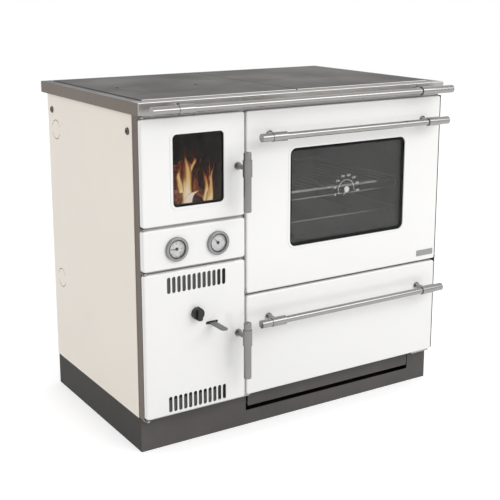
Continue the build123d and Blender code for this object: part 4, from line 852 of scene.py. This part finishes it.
dial_ink = finish("dial ink", powder_coat, {"Colour": (0.12, 0.12, 0.125, 1.0), "Grain": 1500.0},
                  bump=0.00001)
ink = 0.00006


def stroke(centre, y, angle, inner, outer, wide):
    """One printed line of a scale, from one radius to another."""
    way, side = Vector((cos(angle), 0, sin(angle))), Vector((-sin(angle), 0, cos(angle)))
    low, high = ([Vector((centre[0], y - up, centre[1])) + way * r + side * s * wide / 2
                  for r, s in ((inner, -1), (outer, -1), (outer, 1), (inner, 1))]
                 for up in (0.0, ink))
    return skin([low, high])


def arc(centre, y, start, end, radius, wide):
    """Printed arc of a scale."""
    count = 48
    rows = []
    for i in range(count + 1):
        a = start + (end - start) * i / count
        rows.append([Vector((centre[0] + r * cos(a), y - up, centre[1] + r * sin(a)))
                     for r, up in ((radius - wide / 2, 0), (radius + wide / 2, 0),
                                   (radius + wide / 2, ink), (radius - wide / 2, ink))])
    return skin(rows)


def numeral(text, centre, y, angle, radius, size):
    """A number of a scale, upright, at an angle and a radius from the scale's centre."""
    curve = bpy.data.curves.new("numeral", "FONT")
    curve.body, curve.size, curve.extrude = text, size, ink / 2
    curve.align_x, curve.align_y = "CENTER", "CENTER"
    curve.resolution_u = 3
    holder = bpy.data.objects.new("numeral", curve)
    mesh = bpy.data.meshes.new_from_object(holder)
    x, z = centre[0] + radius * cos(angle), centre[1] + radius * sin(angle)
    points = [(x + v.co.x, y - ink / 2 - v.co.z, z + v.co.y) for v in mesh.vertices]
    faces = [tuple(p.vertices) for p in mesh.polygons]
    bpy.data.objects.remove(holder)
    bpy.data.curves.remove(curve)
    bpy.data.meshes.remove(mesh)
    return points, faces


dial_low, dial_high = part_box("gauge_dials")
dial_front, dial_z = dial_low.y, (dial_low.z + dial_high.z) / 2
dial_radius = (dial_high.z - dial_low.z) / 2
dial_xs = (dial_low.x + dial_radius, dial_high.x - dial_radius)
glass_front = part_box("gauge_glasses")[0].y
# Black ring round each glass: a rubber gasket, and painted shade between bezel and dial.
gasket = ((0.0, 0.0), (0.0017, -0.0017), (0.0014, -0.002), (-0.0003, -0.0003))
gasket_turns = [tau * i / 64 for i in range(64)]
gaskets = [skin([[(x + (dial_radius + r) * cos(a), glass_front + y,
                   dial_z + (dial_radius + r) * sin(a)) for r, y in gasket]
                 for a in gasket_turns], loop=True) for x in dial_xs]
piece("gauge_gaskets", *together(gaskets), gasket_rubber_and_shade, "carcass", "needle")

scale_start, scale_end = radians(225), radians(-45)
mark_out, long_in, short_in, number_at = (part * dial_radius for part in (0.87, 0.77, 0.81, 0.62))
for name, x, numbers, gaps in (("thermometer_scale", dial_xs[0], range(0, 121, 20), 24),
                               ("pressure_scale", dial_xs[1], range(0, 5), 20)):
    centre = (x, dial_z)
    marks = [arc(centre, dial_front, scale_start, scale_end, mark_out, 0.00025)]
    for i in range(gaps + 1):
        a = scale_start + (scale_end - scale_start) * i / gaps
        long = i % (gaps // (len(numbers) - 1)) == 0
        marks.append(stroke(centre, dial_front, a, long_in if long else short_in, mark_out,
                            0.0005 if long else 0.0003))
    for i, number in enumerate(numbers):
        a = scale_start + (scale_end - scale_start) * i / (len(numbers) - 1)
        marks.append(numeral(str(number), centre, dial_front, a, number_at, size=0.0036))
    piece(name, *together(marks), dial_ink, "carcass", "needle")

# ---------------------------------------------------------------- ash door
# Pan with two rows of vents over an iron liner, hung on pins at the left. Between pan and
# liner a slotted shutter slides by its flat lever and the draught knob turns a disc with
# three ports.
rope("ash_rope", "ash_door_seal", "ash_door")
# The shutter is painted darker where it lies behind the pan: painted shade.
shutter_steel = finish("shutter steel", machined,
                       {"Colour": (0.17, 0.17, 0.166, 1.0), "Polish": 0.4, "Shade behind": 0.6,
                        "Streaks": Vector((60.0, 700.0, 700.0))},
                       bump=0.00003, plain={"Metallic": 0.9})
coat(shutter_steel, "air_shutter", "firebox_latch", "ash_latch")
knob_black = finish("knob plastic", powder_coat,
                    {"Colour": (0.008, 0.008, 0.0085, 1.0), "Grain": 1200.0, "Sheen": 0.4},
                    bump=0.00004)
coat(knob_black, "draught_knob")

# ---------------------------------------------------------------- oven door
# Pan over a folded liner with two panes, hung on pins at its lower edge. The scale of the
# thermometer and a black border are printed on the inner pane; the plate at the corner is bare.
rope("oven_rope", "oven_door_seal", "oven_door")
outer_pane = finish("outer pane", smears, {"Tint": (0.9, 0.9, 0.9, 1.0), "Haze": 0.01},
                    plain={"Transmission Weight": 1.0, "IOR": 1.25})
coat(outer_pane, "oven_door_glass")
inner_pane = finish("inner pane", smears, {"Tint": (0.6, 0.595, 0.58, 1.0), "Haze": 0.02},
                    plain={"Transmission Weight": 0.94, "IOR": 1.2})
coat(inner_pane, "oven_inner_glass")
plate_steel = finish("plate steel", machined, {"Colour": (0.3, 0.3, 0.3, 1.0), "Polish": 0.3},
                     bump=0.00001, plain={"Metallic": 1.0})
coat(plate_steel, "oven_badge")
case_alloy = finish("thermometer alloy", machined,
                    {"Colour": (0.9, 0.9, 0.89, 1.0), "Polish": 0.45,
                     "Streaks": Vector((300.0, 300.0, 300.0))}, bump=0.00002)
coat(case_alloy, "oven_thermometer", "oven_thermometer_needle")

scale_white = finish("scale print", powder_coat,
                     {"Colour": (0.92, 0.92, 0.91, 1.0), "Mottle": 0.02}, bump=0.00001)
case_low, case_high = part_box("oven_thermometer")
centre = ((case_low.x + case_high.x) / 2, (case_low.z + case_high.z) / 2)
pane_low, pane_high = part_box("oven_inner_glass")
print_y = pane_low.y - 0.00002
first, last, tick_radius, number_radius, ticks, numbers = (
    radians(198), radians(-9), 0.0245, 0.037, 28, 7)
marks = [arc(centre, print_y, first, last, tick_radius, 0.0006)]
for i in range(ticks + 1):
    a = first + (last - first) * i / ticks
    length = 0.0018 if i % (ticks // numbers) else 0.0035
    marks.append(stroke(centre, print_y, a, tick_radius, tick_radius + length, 0.0007))
for i in range(numbers + 1):
    a = first + (last - first) * i / numbers
    marks.append(numeral(str(i * 50), centre, print_y, a, number_radius, size=0.0078))
piece("oven_scale", *together(marks), scale_white, "oven_door", "stat_case")

border_black = finish("border print", powder_coat,
                      {"Colour": (0.012, 0.012, 0.012, 1.0), "Sheen": 0.6}, bump=0.00001)
border_edges = [outline(pane_low, pane_high, inset, corner)
                for inset, corner in ((0.0002, 0.004), (0.0075, 0.01))]
border = [[(p.x, pane_low.y - up, p.y)
           for p, up in ((outer, 0.0), (inner, 0.0), (inner, ink), (outer, ink))]
          for outer, inner in zip(*border_edges)]
piece("oven_pane_border", *skin(border, loop=True), border_black, "oven_door", "oven_enamel")

liner_back, liner_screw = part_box("oven_door_liner")[1].y, 0.0036
screw_xs, screw_zs = (-0.066, 0.348), (0.44, 0.588, 0.738)
liner_screws = [(x, liner_back, z) for x in screw_xs for z in screw_zs]
piece("oven_liner_screws", *together(screw_head(p, (0, 1, 0), liner_screw) for p in liner_screws),
      screw_steel, "oven_door", "screw_steel")

# ---------------------------------------------------------------- studio
# White painted floor in a white room, and one large soft lamp that hangs high in front on
# the right. The camera stands in front on the left and looks a little down.
white = (1.0, 1.0, 1.0, 1.0)
floor_half, floor_grey, floor_glow = 6.0, (0.7, 0.7, 0.7, 1.0), 0.5
floor_mesh = bpy.data.meshes.new("floor")
floor_mesh.from_pydata([(x * floor_half, y * floor_half, 0)
                        for x, y in ((-1, -1), (1, -1), (1, 1), (-1, 1))], [], [(0, 1, 2, 3)])
floor = bpy.data.objects.new("floor", floor_mesh)
bpy.context.scene.collection.objects.link(floor)
floor_paint = bpy.data.materials.new("floor paint")
floor_paint.use_nodes = True
shader = floor_paint.node_tree.nodes["Principled BSDF"]
for socket, value in (("Base Color", floor_grey), ("Roughness", 0.9), ("Specular IOR Level", 0.0),
                      ("Emission Color", white)):
    shader.inputs[socket].default_value = value


def seen(tree):
    """1 for rays that show the studio to the camera, also in metal and through glass."""
    rays = add(tree, "LightPath").outputs
    straight = calc("MAXIMUM", rays["Is Camera Ray"], rays["Is Glossy Ray"])
    return calc("MAXIMUM", straight, rays["Is Transmission Ray"])


tree = floor_paint.node_tree
tree.links.new(calc("MULTIPLY", seen(tree), floor_glow), shader.inputs["Emission Strength"])
floor_mesh.materials.append(floor_paint)

ambient = 0.865
world = bpy.data.worlds.new("studio")
bpy.context.scene.world = world
world.use_nodes = True
tree = world.node_tree
background = tree.nodes["Background"]
background.inputs["Color"].default_value = white
tree.links.new(between(seen(tree), 0.0, 1.0, ambient, 1.0), background.inputs["Strength"])

key_place, key_target, key_radiance = Vector((1.05, -2.6, 2.1)), Vector((0.1, -0.3, 0.5)), 2.75
key = bpy.data.lights.new("key", "AREA")
key.shape, key.size, key.size_y = "RECTANGLE", 2.9, 1.3
key.energy = key_radiance * key.size * key.size_y * pi
lamp = bpy.data.objects.new("key", key)
lamp.location = key_place
lamp.rotation_euler = (key_target - key_place).to_track_quat("-Z", "Y").to_euler()
lamp.visible_camera = False
bpy.context.scene.collection.objects.link(lamp)

camera = bpy.data.objects.new("camera", bpy.data.cameras.new("camera"))
camera.location = (-1.4285, -2.2999, 1.1206)
camera.rotation_euler = (pi / 2 - 0.217, 0.0, -0.563)
camera.data.lens, camera.data.sensor_width, camera.data.shift_y = 72.52, 36.0, -0.1
bpy.context.scene.collection.objects.link(camera)
bpy.context.scene.camera = camera
bpy.context.scene.view_settings.view_transform = "Standard"
